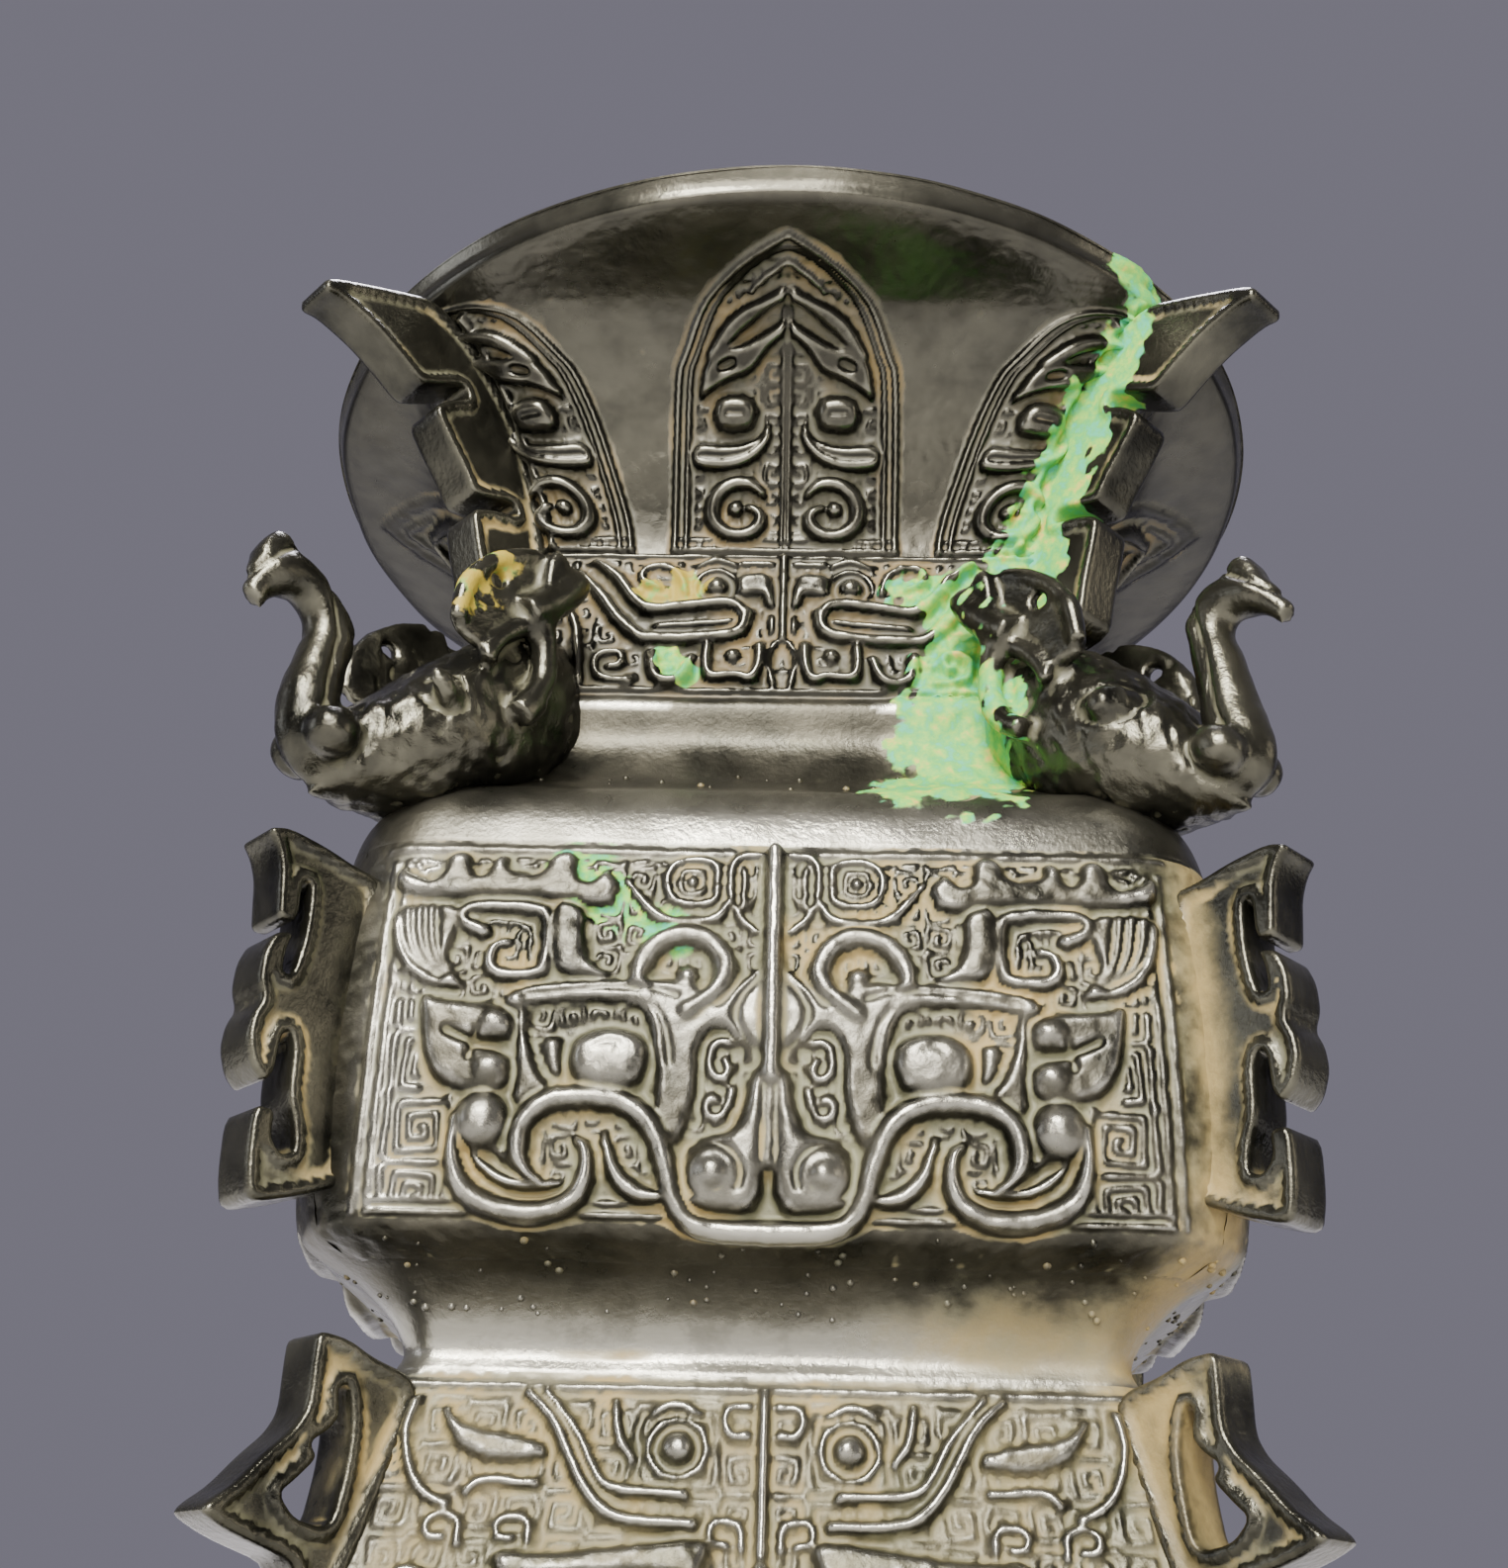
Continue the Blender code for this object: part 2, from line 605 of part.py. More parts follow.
def elephant(reach, shoulder, unit):
    """An elephant's head on the shoulder, its trunk rising to a bird's head."""
    parts = []

    def here(r, z):
        return reach + (r - 56.1) * unit, shoulder + (z - 112.0) * unit

    head = bmesh.new()
    rings = []
    for r, low, high, half in ((53.5, 121, 150, 11), (63, 115.5, 145.4, 13.4), (71, 113.6, 138.8, 13.2),
                               (79, 113, 130, 10.4), (86.4, 112, 117.6, 4)):
        centre, tall = (low + high) / 2, (high - low) / 2
        ring = []
        for side in range(8):
            turn = math.tau * (side + 0.5) / 8
            x, z = here(r, centre + tall * 1.06 * math.sin(turn))
            ring.append((x, half * 1.06 * unit * math.cos(turn), z))
        rings.append(ring)
    loft(head, rings)
    parts.append(("head", head))
    trunk = bmesh.new()
    path = []
    for r, z, radius in ((80, 120, 3.8), (86.6, 115.8, 4.4), (89.4, 119.6, 4.5), (87.6, 130, 4.1),
                         (86.2, 138.6, 4.0), (88.8, 144.2, 4.0), (93.6, 144.4, 3.2), (98.2, 136.6, 0.7)):
        x, y = here(r, z)
        path.append((x, y, radius * unit))
    tube(trunk, path, 5)
    parts.append(("trunk", trunk))
    crest = bmesh.new()
    bmesh.ops.create_cone(crest, segments=4, radius1=2.2 * unit, radius2=0.8 * unit, depth=5 * unit,
                          cap_ends=True)
    x, z = here(93.6, 148.2)
    bmesh.ops.translate(crest, verts=crest.verts, vec=(x, 0.0, z))
    parts.append(("crest", crest))
    for side in (-1, 1):
        knob = bmesh.new()
        bmesh.ops.create_icosphere(knob, subdivisions=1, radius=3.4 * unit)
        x, z = here(88.4, 117.6)
        bmesh.ops.translate(knob, verts=knob.verts, vec=(x, side * 5.6 * unit, z))
        parts.append((f"tusk_{side}", knob))
        eye = bmesh.new()
        bmesh.ops.create_cone(eye, segments=6, radius1=4.4 * unit, radius2=1.8 * unit, depth=3 * unit,
                              cap_ends=True)
        bmesh.ops.rotate(eye, verts=eye.verts, matrix=Matrix.Rotation(-side * 1.35, 3, "X"))
        x, z = here(73.2, 129.4)
        bmesh.ops.translate(eye, verts=eye.verts, vec=(x, side * 12.8 * unit, z))
        parts.append((f"eye_{side}", eye))
        ear = bmesh.new()
        outline = [here(r, z) for r, z in EAR]
        plate(ear, outline, [], side * 12.5 * unit, EAR_THICKNESS)
        parts.append((f"ear_{side}", ear))
    return parts


def elephants():
    """One head on each corner of the shoulder."""
    reach = corner_reach(band_rows()[0])
    shoulder = mix(BELLY_TOP, NECK_BASE, 0.2245)
    unit = (BAND_TOP - BELLY_TOP) / 59
    for index in range(4):
        for name, mesh in elephant(reach, shoulder, unit):
            solid(f"elephant_{name}_{index}", mesh, 45 + 90 * index)


def bronze():
    """Dark olive brown bronze."""
    material = bpy.data.materials.new("bronze")
    material.use_nodes = True
    shader = material.node_tree.nodes["Principled BSDF"]
    shader.inputs["Base Color"].default_value = (0.045, 0.040, 0.028, 1.0)
    shader.inputs["Metallic"].default_value = 0.8
    shader.inputs["Roughness"].default_value = 0.38
    return material


for old in list(bpy.data.objects):
    bpy.data.objects.remove(old, do_unlink=True)

helpers = bpy.data.collections.new("joined_to_the_vessel")
bpy.context.scene.collection.children.link(helpers)

shell_mesh = vessel()
data = bpy.data.meshes.new("zun")
shell_mesh.to_mesh(data)
shell_mesh.free()
data.materials.append(bronze())
zun = bpy.data.objects.new("zun", data)
bpy.context.scene.collection.objects.link(zun)
flanges()
elephants()
join = zun.modifiers.new("join", "BOOLEAN")
join.operation = "UNION"
join.solver = "EXACT"
join.operand_type = "COLLECTION"
join.collection = helpers
data.shade_smooth()
data.set_sharp_from_angle(angle=math.radians(35))
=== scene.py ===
# %% [markdown]
# # A cast bronze wine vessel with four elephants
#
# A zun is a tall vessel for wine. This one stands on a flared square foot, swells into a square
# belly, narrows to a neck and opens in a round trumpet mouth. Twelve hooked flanges stand on its
# corners, and an elephant's head with a raised trunk looks out from each corner of the shoulder.
#
# The plain CAD solid of the vessel comes first. It is the frame: every piece made below sits on it,
# in the same metres, and takes its place in the picture.

# %% Load the frame
import math

import bpy
import numpy as np
from mathutils import Matrix, Vector
from mathutils.geometry import delaunay_2d_cdt


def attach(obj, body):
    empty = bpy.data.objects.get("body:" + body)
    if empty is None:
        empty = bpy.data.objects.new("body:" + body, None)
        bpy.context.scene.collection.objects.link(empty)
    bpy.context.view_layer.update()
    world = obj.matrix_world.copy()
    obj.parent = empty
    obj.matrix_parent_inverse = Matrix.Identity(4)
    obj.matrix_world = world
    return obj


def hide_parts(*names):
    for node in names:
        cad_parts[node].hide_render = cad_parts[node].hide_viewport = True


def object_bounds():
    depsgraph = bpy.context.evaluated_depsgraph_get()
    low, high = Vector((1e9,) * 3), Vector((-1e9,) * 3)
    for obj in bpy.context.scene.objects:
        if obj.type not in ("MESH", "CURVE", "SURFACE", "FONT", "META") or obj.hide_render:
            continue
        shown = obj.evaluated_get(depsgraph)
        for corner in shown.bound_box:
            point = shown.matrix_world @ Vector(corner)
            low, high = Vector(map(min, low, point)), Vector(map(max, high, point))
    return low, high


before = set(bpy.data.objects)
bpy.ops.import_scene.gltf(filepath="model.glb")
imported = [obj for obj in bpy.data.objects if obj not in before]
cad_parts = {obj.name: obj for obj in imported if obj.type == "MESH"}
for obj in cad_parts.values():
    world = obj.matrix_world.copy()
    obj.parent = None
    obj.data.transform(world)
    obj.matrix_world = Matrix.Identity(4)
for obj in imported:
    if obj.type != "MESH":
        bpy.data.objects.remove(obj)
cad_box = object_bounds()
MM = 0.001
print("frame loaded:", [round(1000 * (b - a), 1) for a, b in zip(*cad_box)], "mm")

# %% [markdown]
# ## Camera
#
# The vessel was photographed from close by and from below: the lens is 27 cm away, only a few
# millimetres above the ground that the foot stands on, and looks 28 degrees up. That is why the
# mouth looks wide and the foot runs out of the picture. The camera's forward, right and up
# directions are worked out from its yaw, pitch and roll, and become the columns of its matrix.

# %% Camera
YAW, PITCH, ROLL = (math.radians(turn) for turn in (1.58, 27.70, 1.64))
EYE = Vector((0.0032, -0.2663, 0.0056))

forward = Vector((-math.sin(YAW) * math.cos(PITCH), math.cos(YAW) * math.cos(PITCH), math.sin(PITCH)))
level = Vector((math.cos(YAW), math.sin(YAW), 0))
square_up = level.cross(forward)
right = math.cos(ROLL) * level + math.sin(ROLL) * square_up
up = math.cos(ROLL) * square_up - math.sin(ROLL) * level

camera = bpy.data.objects.new("camera", bpy.data.cameras.new("camera"))
bpy.context.scene.collection.objects.link(camera)
camera.matrix_world = Matrix.Translation(EYE) @ Matrix((right, up, -forward)).transposed().to_4x4()
camera.data.sensor_fit = "HORIZONTAL"
camera.data.sensor_width = 36
camera.data.lens = 42.5
camera.data.clip_start = 0.01
camera.data.shift_x = -0.0027
camera.data.shift_y = 0.0022
bpy.context.scene.camera = camera
print("camera looks", round(math.degrees(PITCH), 1), "degrees up from", [round(c, 3) for c in EYE])

# %% [markdown]
# ## Floor and light
#
# A plain pale floor carries the vessel, and soft lamps light it as in a small studio. Dark
# polished bronze shows mostly what it reflects, so each lamp is a panel. One high in front and one
# overhead draw the bright bands on the rim and the shoulder. A weaker one low in front lights the
# belly and the waist, and one at each side outlines the flanges. The world is a quiet grey, so
# the metal stays dark between the lamps.

# %% Floor and light
def linear(hexed):
    """A colour written in sRGB hex, as the linear numbers that the shaders take."""
    shares = [int(hexed[k:k + 2], 16) / 255 for k in (1, 3, 5)]
    return tuple([s / 12.92 if s < 0.04045 else ((s + 0.055) / 1.055) ** 2.4 for s in shares] + [1.0])


def lamp(name, place, target, width, height, watts, colour):
    """A soft rectangular lamp that points at the target."""
    data = bpy.data.lights.new(name, "AREA")
    data.shape = "RECTANGLE"
    data.size, data.size_y = width, height
    data.energy = watts
    data.color = linear(colour)[:3]
    made = bpy.data.objects.new(name, data)
    made.location = place
    made.rotation_euler = (Vector(target) - Vector(place)).to_track_quat("-Z", "Y").to_euler()
    bpy.context.scene.collection.objects.link(made)


REACH = 3
floor_mesh = bpy.data.meshes.new("floor")
floor_mesh.from_pydata([(-REACH, -REACH, 0), (REACH, -REACH, 0), (REACH, REACH, 0), (-REACH, REACH, 0)],
                       [], [(0, 1, 2, 3)])
floor = bpy.data.objects.new("floor", floor_mesh)
bpy.context.scene.collection.objects.link(floor)
paper = bpy.data.materials.new("pale_paper")
paper.use_nodes = True
sheet = paper.node_tree.nodes["Principled BSDF"].inputs
sheet["Base Color"].default_value = linear("#c9c8c6")
sheet["Roughness"].default_value = 0.9
floor_mesh.materials.append(paper)

world = bpy.data.worlds.new("studio")
world.use_nodes = True
air = world.node_tree.nodes["Background"].inputs
air["Color"].default_value = linear("#93909f")
air["Strength"].default_value = 0.62
bpy.context.scene.world = world
lamp("high_front", (-0.14, -0.74, 0.60), (0, 0, 0.10), 0.30, 0.24, 25, "#fffaf6")
lamp("low_front", (-0.10, -0.90, 0.31), (0, 0, 0.10), 0.50, 0.36, 12, "#fff8f4")
lamp("ceiling", (0.0, 0.08, 0.95), (0, 0, 0.12), 0.40, 0.30, 22, "#f3f0ff")
lamp("left_side", (-0.80, -0.25, 0.30), (0, 0, 0.10), 0.16, 0.40, 1.2, "#eef0ff")
lamp("right_side", (0.80, -0.25, 0.28), (0, 0, 0.10), 0.16, 0.40, 1.2, "#fff3e4")
print("one floor, five lamps")

# %% [markdown]
# ## The wall of the vessel
#
# Every part of the wall is a square with rounded corners whose size changes with height, so a
# short list of such squares gives the whole outside: height, half the width, and corner radius.
# A smooth curve runs through the list.

# %% The wall as a curve of rounded squares
OUTSIDE = np.array([
    (0, 58, 9), (6, 57.1, 8.7), (20, 50.9, 6.7), (42, 45.5, 5), (44.4, 44.6, 5), (47.1, 45.6, 5.6),
    (52.2, 50.6, 8.5), (57, 57.6, 12.5), (80.65, 59.4, 12.5), (104.3, 58.1, 12.5), (110.8, 56.9, 12.5),
    (116.6, 53.3, 11.2), (119.7, 48.5, 9.8), (123.9, 44.3, 8.6), (131.1, 42, 8), (136.4, 43, 8.3),
    (138.6, 42, 8), (163.3, 42, 8), (178.6, 47.4, 13.9), (190.3, 55.5, 24.5), (196, 63, 36),
    (199.2, 77.2, 71), (199.9, 79.1, 76), (200.6, 79.7, 77.6), (201.5, 79.9, 78.6), (204, 81.2, 81.1)])


def through(t, knots, values):
    """A smooth curve through the values at the knots, which never swings past them."""
    step = np.diff(knots)
    rise = np.diff(values) / step
    before, after = rise[:-1], rise[1:]
    bend = before * after > 0
    one, two = 2 * step[1:] + step[:-1], step[1:] + 2 * step[:-1]
    mean = (one + two) / (one / np.where(bend, before, 1) + two / np.where(bend, after, 1))
    slope = np.concatenate([rise[:1], np.where(bend, mean, 0), rise[-1:]])
    k = np.clip(np.searchsorted(knots, t, side="right") - 1, 0, len(step) - 1)
    s = (t - knots[k]) / step[k]
    start = (1 + 2 * s) * (1 - s) ** 2 * values[k] + s * (1 - s) ** 2 * step[k] * slope[k]
    return start + s * s * (3 - 2 * s) * values[k + 1] + s * s * (s - 1) * step[k] * slope[k + 1]


def length_up(rows):
    """How far up the wall each row is, along the surface."""
    return np.concatenate([[0], np.cumsum(np.hypot(np.diff(rows[:, 0]), np.diff(rows[:, 1])))])


def up_at(height):
    """How far up the outside of the wall a height is."""
    return float(np.interp(height, OUTSIDE[:, 0], length_up(OUTSIDE)))


print("the wall is", round(length_up(OUTSIDE)[-1]), "mm long from foot to lip")

# %% [markdown]
# ## Points on the wall
#
# A point on a face is named by how far it is across from the middle of the face and how far up
# the wall, both measured along the surface in millimetres. The carving is drawn in those two
# measures, as a carver would lay it out on wax.

# %% Points on the wall
def on_wall(rows, up, share):
    """Points of the front face, and how far across each is. share runs from -1 to 1, corner to corner."""
    knots = length_up(rows)
    height, half, corner = (through(up, knots, rows[:, k])[:, None] for k in range(3))
    flat = half - corner
    across = share[None] * (flat + corner * math.pi / 4)
    turn = np.clip((np.abs(across) - flat) / corner, 0, None)
    out = np.where(turn > 0, flat + corner * np.sin(turn), np.abs(across))
    points = np.stack([np.sign(across) * out, -flat - corner * np.cos(turn), height + 0 * across], -1)
    return points, across


def straight_out(points):
    """The direction out of the surface at each point of a grid."""
    along = np.gradient(points, axis=1)
    upward = np.gradient(points, axis=0)
    out = np.cross(along, upward)
    return out / np.linalg.norm(out, axis=-1, keepdims=True)


belly_edge, _ = on_wall(OUTSIDE, np.array([up_at(80)]), np.array([-1.0, 0.0, 1.0]))
print("the corner of the belly is", round(float(np.hypot(*belly_edge[0, 2, :2]))), "mm from the middle")

# %% [markdown]
# ## From points to pieces
#
# A piece is a grid of points joined by four-sided faces. The wax model was built up and smoothed
# by hand, so no wall is quite true: a few long waves, a tenth of a millimetre high, are added to
# every point. They depend on the place alone, so neighbouring pieces still meet.

# %% Making a piece
pieces = []
rng = np.random.default_rng(7)
WAVES = rng.normal(size=(9, 3)) * 0.16
WAVE_STARTS = rng.uniform(0, 6.28, 9)


def hand_made(points):
    """How far the hand-made wax stands out or in at each point, in millimetres."""
    return 0.045 * np.sin(points @ WAVES.T + WAVE_STARTS).sum(-1)


def turned(points, quarter):
    """The points carried round the upright axis by quarter turns."""
    c, s = [(1, 0), (0, 1), (-1, 0), (0, -1)][quarter % 4]
    x, y, z = np.moveaxis(points, -1, 0)
    return np.stack([c * x - s * y, s * x + c * y, z], -1)


def piece(name, points, faces):
    """A piece of the vessel from points in millimetres and lists of corners, kept inside the CAD box."""
    mesh = bpy.data.meshes.new(name)
    points = np.clip(np.asarray(points).reshape(-1, 3) * MM, cad_box[0], cad_box[1])
    mesh.from_pydata(points.tolist(), [], faces)
    mesh.shade_smooth()
    made = bpy.data.objects.new(name, mesh)
    bpy.context.scene.collection.objects.link(made)
    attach(made, "root")
    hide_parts("zun")
    pieces.append(made)


def grid_faces(rows, columns, closed=False):
    """The four-sided faces of a grid. A closed one joins its last column to its first."""
    last = columns if closed else columns - 1
    low = np.arange(rows - 1)[:, None] * columns
    here = (low + np.arange(last)).ravel()
    beside = (low + (np.arange(last) + 1) % columns).ravel()
    return np.stack([here, beside, beside + columns, here + columns], 1).tolist()


print("ready to make pieces; a grid of 3 x 3 points has", len(grid_faces(3, 3)), "faces")

# %% [markdown]
# ## Lines in soft wax
#
# All ornament is drawn with short lists of points. Wax has no sharp corners, so a line has its
# corners cut twice before it is used. A raised line has no cliff for an edge either: a quarter
# circle shapes the rise.

# %% Lines in soft wax
def softened(line, keep=0.75, closed=False):
    """A line with its corners cut twice, as they come out of soft wax. The more it keeps, the sharper."""
    line = np.asarray(line, float)
    for _ in range(2):
        after = np.roll(line, -1, 0)
        cut = np.stack([keep * line + (1 - keep) * after, (1 - keep) * line + keep * after], 1)
        cut = cut.reshape(-1, line.shape[1])
        line = cut if closed else np.concatenate([line[:1], cut[1:-3], line[-1:]])
    return line


def arc(x, v, radius, start, end, step):
    """Points round a middle, from an angle to another."""
    return [(x + radius * math.cos(k), v + radius * math.sin(k)) for k in np.arange(start, end, step)]


def blurred(grid, times):
    """A grid of numbers, each mixed with its four neighbours so many times."""
    for _ in range(2 * times):
        padded = np.pad(grid, ((1, 1), (0, 0)), "edge")
        grid = ((padded[:-2] + 2 * padded[1:-1] + padded[2:]) / 4).T
    return grid


def shaped(d):
    """A rise from nothing to full height as d goes from 0 to 1, steep at first and rounded on top."""
    d = np.clip(d, 0, 1)
    return np.sqrt(1 - (1 - d) ** 2)


print("halfway in from its edge, a ribbon has", round(100 * float(shaped(0.5))), "% of its height")

# %% [markdown]
# ## Measuring on a face
#
# A small class holds the height of every point of one face. Both halves of a face are the same,
# so lines and outlines are drawn once, by their distance from the middle. How far every point is
# from a line, or how deep it lies in an outline, is all that a carving tool has to know.

# %% Measuring on a face
class Face:
    """Heights in millimetres over one face, by how far across (x) and how far up (v) each point is."""

    def __init__(self, across, up):
        self.x = np.abs(across)
        self.v = up + 0 * across
        self.height = np.zeros_like(self.x)

    def near(self, line, margin):
        """Which points lie in the box round a line."""
        low, high = np.min(line, 0)[:2] - margin, np.max(line, 0)[:2] + margin
        return np.nonzero((self.x > low[0]) & (self.x < high[0]) & (self.v > low[1]) & (self.v < high[1]))

    def distance(self, line, spot, widths=None):
        """How far the chosen points are from a line, or that as a share of half its width there."""
        x, v = self.x[spot], self.v[spot]
        best = np.full(x.shape, 1e9)
        for k in range(len(line) - 1):
            (ax, av), (bx, bv) = line[k][:2], line[k + 1][:2]
            dx, dv = bx - ax, bv - av
            t = np.clip(((x - ax) * dx + (v - av) * dv) / (dx * dx + dv * dv + 1e-9), 0, 1)
            far = np.hypot(x - ax - t * dx, v - av - t * dv)
            if widths is not None:
                far = far * 2 / (widths[k] + t * (widths[k + 1] - widths[k]))
            best = np.minimum(best, far)
        return best

    def depth_in(self, outline, spot):
        """How deep the chosen points lie inside a closed outline, and less than nothing outside it."""
        loop = list(outline) + [outline[0]]
        x, v = self.x[spot], self.v[spot]
        inside = np.zeros(x.shape, bool)
        for (ax, av), (bx, bv) in zip(loop, loop[1:]):
            if av != bv:
                inside ^= ((av > v) != (bv > v)) & (x < (bx - ax) * (v - av) / (bv - av) + ax)
        return np.where(inside, 1, -1) * self.distance(loop, spot)


probe = Face(np.array([3.0]), np.array([4.0]))
print("a line from 0, 0 to 9, 0 passes the point 3, 4 at",
      round(float(probe.distance([(0, 0), (9, 0)], slice(None))[0]), 2), "mm")

# %% [markdown]
# ## Carving
#
# The ornament of this vessel is raised from the wall in flat ribbons with rounded edges, with
# thin grooves along them, over a ground of tiny squared spirals called thunder pattern. Each tool
# takes a short line or outline, and the distance of every point to it gives the height there.

# %% A carver's tools
OUTLINE_KEEP = 0.78
# angles all the way round: from, to and step
AROUND = (0, 6.4, 0.4)


class Carving(Face):
    """A face and the tools that change its heights."""

    def ribbon(self, line, wide, high, flat=0.0):
        """A raised ribbon along a line, round on top, or flat over that share of its width. A third
        number at its points is the width there."""
        line = softened([p if len(p) == 3 else (*p, wide) for p in line])
        spot = self.near(line, wide)
        rise = high * shaped((1 - self.distance(line, spot, line[:, 2])) / (1 - flat))
        self.height[spot] = np.maximum(self.height[spot], rise)

    def plateau(self, outline, high, edge, crown=0.0):
        """A raised patch inside an outline, with so wide a round edge and a crown over its inner part."""
        outline = softened(outline, OUTLINE_KEEP, True)
        spot = self.near(outline, 1)
        d = self.depth_in(outline, spot)
        rise = high * shaped(d / edge) + crown * shaped(d / 4)
        self.height[spot] = np.where(d > 0, np.maximum(self.height[spot], rise), self.height[spot])

    def groove(self, line, wide, deep):
        """A groove cut along a line."""
        line = softened(line)
        spot = self.near(line, wide)
        self.height[spot] -= deep * np.clip(1.4 - 2.8 * self.distance(line, spot) / wide, 0, 1)

    def sink(self, outline, left):
        """A patch cut down inside an outline, until so much is left above the ground."""
        outline = softened(outline, OUTLINE_KEEP, True)
        spot = self.near(outline, 0)
        d = self.depth_in(outline, spot)
        cut = self.height[spot] + (left - self.height[spot]) * np.clip(d / 0.5, 0, 1)
        self.height[spot] = np.where(d > 0, np.minimum(self.height[spot], cut), self.height[spot])

    def boss(self, x, v, radius, high, wide=1.0):
        """A rounded knob, so many times as wide as it is tall."""
        spot = self.near([(x, v)], radius * wide + 0.3)
        d = np.hypot((self.x[spot] - x) / wide, self.v[spot] - v) / radius
        rise = high * np.sqrt(np.clip(1 - d ** 2.2, 0, 1))
        self.height[spot] = np.maximum(self.height[spot], rise)

    def eye(self, x, v, radius, high):
        """A round eye in a raised ring."""
        self.sink(arc(x, v, radius + 1, *AROUND), 0.2)
        self.ribbon(arc(x, v, radius + 1.3, *AROUND), 1.0, 1.1)
        self.boss(x, v, radius, high)

    def thunder(self, outline, size, high, turns):
        """Squared spirals of so many turns that fill an outline wherever nothing stands higher."""
        spot = self.near(outline, 0)
        d = self.depth_in(outline, spot)
        x, v = self.x[spot] / size, self.v[spot] / size
        a, b = (x % 1) * 2 - 1, (v % 1) * 2 - 1
        flip = (np.floor(x) + np.floor(v)) % 2 * 2 - 1
        # in each square: how far from its middle, and how far round it as a share of a full turn
        far = np.maximum(np.abs(a), np.abs(b))
        a_share, b_share = a / (far + 1e-9), b / (far + 1e-9)
        way = np.where(far == np.abs(a), np.where(a > 0, b_share, 4 - b_share),
                       np.where(b > 0, 2 - a_share, 6 + a_share)) / 8
        wave = np.abs((far * turns + flip * way) % 1 - 0.5) * 2
        rise = high * np.clip(1.9 * wave - 0.55, 0, 1) * np.clip(d / 0.3, 0, 1)
        self.height[spot] = np.maximum(self.height[spot], rise)

    def finish(self, step, rough):
        """Rounds everything over 0.3 mm and makes it uneven over 0.55 mm, as cast from a hand-cut model."""
        noise = np.random.default_rng(3).normal(size=self.height.shape)
        noise = blurred(noise, max(2, round((0.55 / step) ** 2 * 2)))
        self.height = blurred(self.height, max(1, round((0.30 / step) ** 2 * 1.6)))
        self.height = self.height + rough * noise / noise.std()


print("tools ready: ribbon, plateau, groove, sink, boss, eye and thunder")

# %% [markdown]
# ## The monster mask on the belly
#
# A taotie looks out from each side of the belly: a face split down the middle by a keel, with
# bulging eyes under heavy brows, ram's horns, square ears, a wide lip that curls at its ends, a
# pair of hooks beside it, and a small dragon over each brow. Ribbons make the lip, the horns and
# the hooks, and raised outlines make the brows, the ears and the cheeks. All its numbers are
# millimetres on the wall: across from the keel, and up from the panel's lower edge.
#
# The panel comes first: its ground of spirals, its border lines and the small dragons.

# %% Panel and small dragons
def belly_panel(c):
    """The spirals, the border lines and the small dragon over the brow."""
    c.thunder([(36.5, 3), (46.6, 3), (46.6, 27), (44, 27), (42, 15), (36.5, 15)], 7.6, 0.9, 2.8)
    c.thunder([(0, 8), (36, 3.4), (43, 27), (47, 28), (47, 47), (0, 47)], 3.8, 0.95, 1.7)
    for v in (1.2, 2.9):
        c.ribbon([(11, v), (47.5, v)], 1.0, 0.7)
    for x in (47.4, 49.1):
        c.ribbon([(x, 1), (x, 46)], 1.0, 0.6)
    c.ribbon([(0, 48.2), (50, 48.2)], 1.2, 0.5)
    # the dragon over the brow: crest, leg, coiled body and wing
    c.plateau([(48.4, 46), (46.2, 43.8), (43, 43), (42, 47.4), (39.2, 47.4), (38.5, 44), (37, 43.8),
               (36, 47), (34.4, 47), (34, 44.5), (30, 44), (28.6, 47.6), (25.4, 47.6), (25, 43.5),
               (23.4, 43.2), (21.6, 45.4), (19.4, 42.6), (20.5, 39.6), (24, 39.2), (26, 40.2),
               (48.4, 40.2)], 1.7, 1.0, 0.5)
    c.boss(21.3, 42.4, 1.9, 2.0)
    c.plateau([(28.4, 40.6), (23.6, 39.6), (23.6, 34.6), (22.6, 31.8), (18.6, 29.6), (28, 29.7)],
              1.7, 1.0, 0.6)
    c.ribbon([(36.6, 35.8), (39.6, 37), (39, 39.4), (29.4, 39.2), (28.2, 37.4), (28.2, 31.4), (29.4, 30),
              (34.2, 29.9), (35.6, 31.8), (34.6, 34.2, 1.4), (33, 34.3, 0.8)], 2.3, 2.0)
    c.ribbon([(30.4, 32), (30.4, 37.2), (36, 37.2)], 0.9, 1.0)
    c.ribbon([(32.2, 35.6), (31.8, 33), (33.2, 31.9), (33.6, 33)], 0.9, 1.0)
    c.boss(37.4, 37.9, 0.8, 1.3)
    c.plateau([(48.4, 39.8), (48, 34), (45.9, 30), (42.5, 28.2), (37.6, 27.9), (40.8, 32.5), (40, 34.5),
               (39.3, 36.2), (39.5, 39.8)], 1.7, 0.9)
    for k in (0, 1.5, 3.0, 4.5):
        c.groove([(47.2 - k, 39.4), (46.7 - k, 34.6), (44.8 - k * 0.8, 31.4),
                  (41.4 - k * 0.4, 29.2 + k * 0.2)], 0.8, 0.7)


print("panel and small dragons drawn")

# %% [markdown]
# ## Horns
#
# A ram's horn curls over each eye: a ribbon that changes its width along the way, with a knob in
# its curl. Small frames, one inside another, fill the space above the horns.

